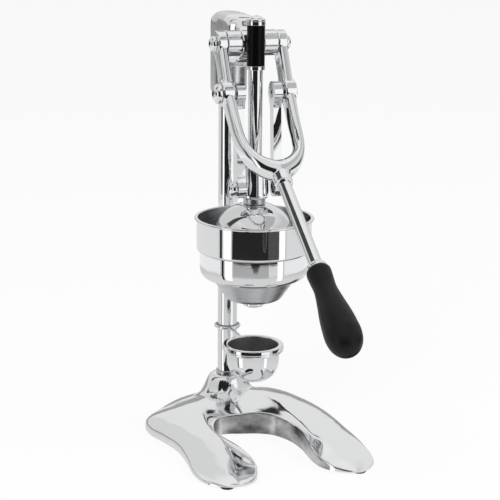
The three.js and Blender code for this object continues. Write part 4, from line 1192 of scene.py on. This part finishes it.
# %% Floor
floor = added(bpy.ops.mesh.primitive_plane_add, "floor", size=24)
floor_paint = finish("floor_paint", (0.92, 0.92, 0.92), 0.9, metallic=0, specular=0)
tree = floor_paint.node_tree
WHITE_SHARE = 0.88  # of what the camera sees. The rest shows the shadows.
share = math_node(tree, "MULTIPLY", node(tree, "LightPath").outputs["Is Camera Ray"], WHITE_SHARE)
white = node(tree, "Emission", Color=(1, 1, 1, 1)).outputs["Emission"]
paint = mix_shaders(tree, share, tree.nodes["Principled BSDF"].outputs["BSDF"], white)
tree.links.new(paint, tree.nodes["Material Output"].inputs["Surface"])
floor.data.materials.append(floor_paint)
floor.visible_glossy = False
floor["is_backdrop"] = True
print("floor paint has", len(tree.nodes), "nodes")

# %% Sheets on the floor
def sheet(name, start, end, near, far, shade, high=1, point=0):
    """A sheet on the floor that only reflections see: a sector round the press between two radii
    in millimetres. Angles are degrees from straight in front, towards the right. Its near end
    comes to a point where point is 1."""
    def at(u, v):
        spread = 1 - point * (1 - v)
        angle = math.radians((start + end) / 2 + (end - start) * (u - 0.5) * spread)
        radius = near + (far - near) * v
        return radius * math.sin(angle), plunger_y - radius * math.cos(angle), high

    made = place(shaped_grid(name, 24, 1, at), at=(press_x, 0, 0))
    paint = bpy.data.materials.new(name)
    paint.use_nodes = True
    tree = paint.node_tree
    glow = node(tree, "Emission", Color=(shade, shade, shade, 1)).outputs["Emission"]
    tree.links.new(glow, tree.nodes["Material Output"].inputs["Surface"])
    made.data.materials.append(paint)
    made.visible_camera = made.visible_diffuse = made.visible_shadow = made.visible_transmission = False
    made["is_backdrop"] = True


RIM_NEAR, RIM_FAR, SIDE_RIM_FAR, SHEET_FAR = 780, 868, 895, 1250
sheet("sheet_front_rim", -61, 12, RIM_NEAR, RIM_FAR, 0.46)
sheet("sheet_front_rim_right", 12, 31, RIM_NEAR, RIM_FAR, 0.78)
sheet("sheet_front_wedge", -27, -3, 850, 870, 0.02, high=2, point=0.4)
sheet("sheet_front_tip", -21, -8, 815, 850, 0.12, high=2, point=0.4)
sheet("sheet_front_strip", -61, 31, RIM_FAR, SIDE_RIM_FAR, 0.01)
sheet("sheet_front", -61, 9, SIDE_RIM_FAR, SHEET_FAR, 0.022)
sheet("sheet_front_right", 9, 31, SIDE_RIM_FAR, SHEET_FAR, 0.085)
sheet("sheet_left_rim", -178, -91, RIM_NEAR, SIDE_RIM_FAR, 0.95)
sheet("sheet_left", -178, -91, SIDE_RIM_FAR, SHEET_FAR, 0.82)
sheet("sheet_right_rim", 47, 178, RIM_NEAR, SIDE_RIM_FAR, 0.95)
sheet("sheet_right", 47, 178, SIDE_RIM_FAR, SHEET_FAR, 0.8)
sheet("sheet_front_far", -47, 14, SHEET_FAR, 2400, 0.015)

# %% Lamps
LAMP_SIZE = 1.4
LAMP_TARGET = Vector((0, 0.05, 0.2))
for name, at, power in (("key", (-1.5, -1.7, 2.3), 50), ("fill", (1.9, -1.2, 1.8), 20)):
    light = bpy.data.lights.new(name, "AREA")
    light.size = LAMP_SIZE
    light.energy = power
    lamp = bpy.data.objects.new(name, light)
    bpy.context.scene.collection.objects.link(lamp)
    lamp.location = at
    lamp.rotation_euler = (LAMP_TARGET - lamp.location).to_track_quat("-Z", "Y").to_euler()
    lamp.visible_glossy = False
    print(name, "lamp of", power, "watts")

# %% [markdown]
# Each card in the sky is a window of turn and rise. The later ones are painted over the earlier ones.

# %% Sky
world = bpy.data.worlds.new("sky")
bpy.context.scene.world = world
world.use_nodes = True
sky = world.node_tree
parts = node(sky, "SeparateXYZ", Vector=node(sky, "TexCoord").outputs["Generated"]).outputs
turn_of_ray = math_node(sky, "ARCTAN2", parts["X"], math_node(sky, "MULTIPLY", parts["Y"], -1))
rise_of_ray = math_node(sky, "ARCSINE", parts["Z"])
lean_of_ray = math_node(sky, "ARCTAN2", parts["X"], parts["Z"])


def window(value, start, end, soft):
    """1 between two angles in degrees and 0 outside, with soft edges."""
    start, end, soft = (math.radians(angle) for angle in (start, end, soft))
    off = math_node(sky, "ABSOLUTE", math_node(sky, "SUBTRACT", value, (start + end) / 2))
    inside_by = math_node(sky, "SUBTRACT", (end - start) / 2, off)
    return math_node(sky, "ADD", math_node(sky, "DIVIDE", inside_by, soft), 0.5, clamp=True)


cards = [
    # turn from straight in front, rise above the horizon, brightness, softness: all in degrees
    (-180, 180, 40, 100, 0.86, 30),  # ceiling
    (-180, 180, -100, -19, 0.76, 8),  # floor
    (-240, -125, -14, 60, 0.7, 16),  # pale wall behind
    (125, 240, -14, 60, 0.8, 16),
    (95, 265, -7, 5, 0.3, 3),  # dark foot of that wall
    (-265, -95, -7, 5, 0.3, 3),
    (13, 46, -12, 46, 1, 2),  # white screen to the right
    (-62, 13, -14.5, 38, 0.015, 0.6),  # dark room behind the camera
    (-82, -65, -30, 12, 1.25, 1.5),  # narrow white screens beside it
    (33, 46, -30, -11, 1.25, 1.5),
    (-90, -85, -30, 5, 0.01, 0.8),  # narrow gap at the left screen
    (58, 104, -12, 8, 0.04, 2),  # dark doorways at the sides
    (-108, -93, -12, 8, 0.04, 2),
    (-124, -102, 25, 78, 0.06, 5),  # dark beam under the ceiling
    (100, 176, -74, -34, 0.08, 8),  # dark floor behind the press
    (156.5, 162, 22, 36, 0.02, 1),  # dark post on the pale wall
]
# The ceiling's front half has panels that run from front to back.
panels = [
    # lean from straight up towards the right, rise, brightness, softness: all in degrees
    (-36, 18.5, 32, 100, 0.74, 2),
    (18.5, 44, 32, 100, 0.5, 2),
    (16.5, 20.5, 32, 59, 0.02, 0.8),  # dark joint between them
]
front_half = window(turn_of_ray, -100, 100, 10)
painted = []
for start, end, low, high, shade, soft in cards:
    inside = window(rise_of_ray, low, high, soft)
    if end - start < 360:
        inside = math_node(sky, "MULTIPLY", window(turn_of_ray, start, end, soft), inside)
    painted.append((inside, shade))
for start, end, low, high, shade, soft in panels:
    inside = math_node(sky, "MULTIPLY", window(lean_of_ray, start, end, soft), front_half)
    inside = math_node(sky, "MULTIPLY", inside, window(rise_of_ray, low, high, 4))
    painted.append((inside, shade))
brightness = 0.62
for inside, shade in painted:
    brightness = node(sky, "Mix", Factor=inside, A=brightness, B=shade).outputs["Result"]

ray = node(sky, "LightPath").outputs
mirrored_ray = math_node(sky, "MAXIMUM", ray["Is Glossy Ray"], ray["Is Transmission Ray"])
even_light = sky.nodes["Background"]
even_light.inputs["Color"].default_value = (1, 1, 1, 1)
EVEN_STRENGTH = 0.55  # the camera sees it at full strength
feed(sky, even_light.inputs["Strength"], math_node(sky, "MAXIMUM", EVEN_STRENGTH, ray["Is Camera Ray"]))
studio = node(sky, "Background", Color=(1, 1, 1, 1), Strength=brightness).outputs["Background"]
both = mix_shaders(sky, mirrored_ray, even_light.outputs["Background"], studio)
sky.links.new(both, sky.nodes["World Output"].inputs["Surface"])
bpy.context.scene.view_settings.view_transform = "Standard"
print("sky:", len(cards), "cards and", len(panels), "panels")

# %% [markdown]
# ## Measure and finish
#
# The visual model has to fill the same box as the imported one, so both boxes are printed.

# %% Measure and finish
final_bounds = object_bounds()
for name, box in (("packed", cad_bounds), ("visual", final_bounds)):
    print(name, "box in mm", [[round(value / MM, 2) for value in corner] for corner in box])
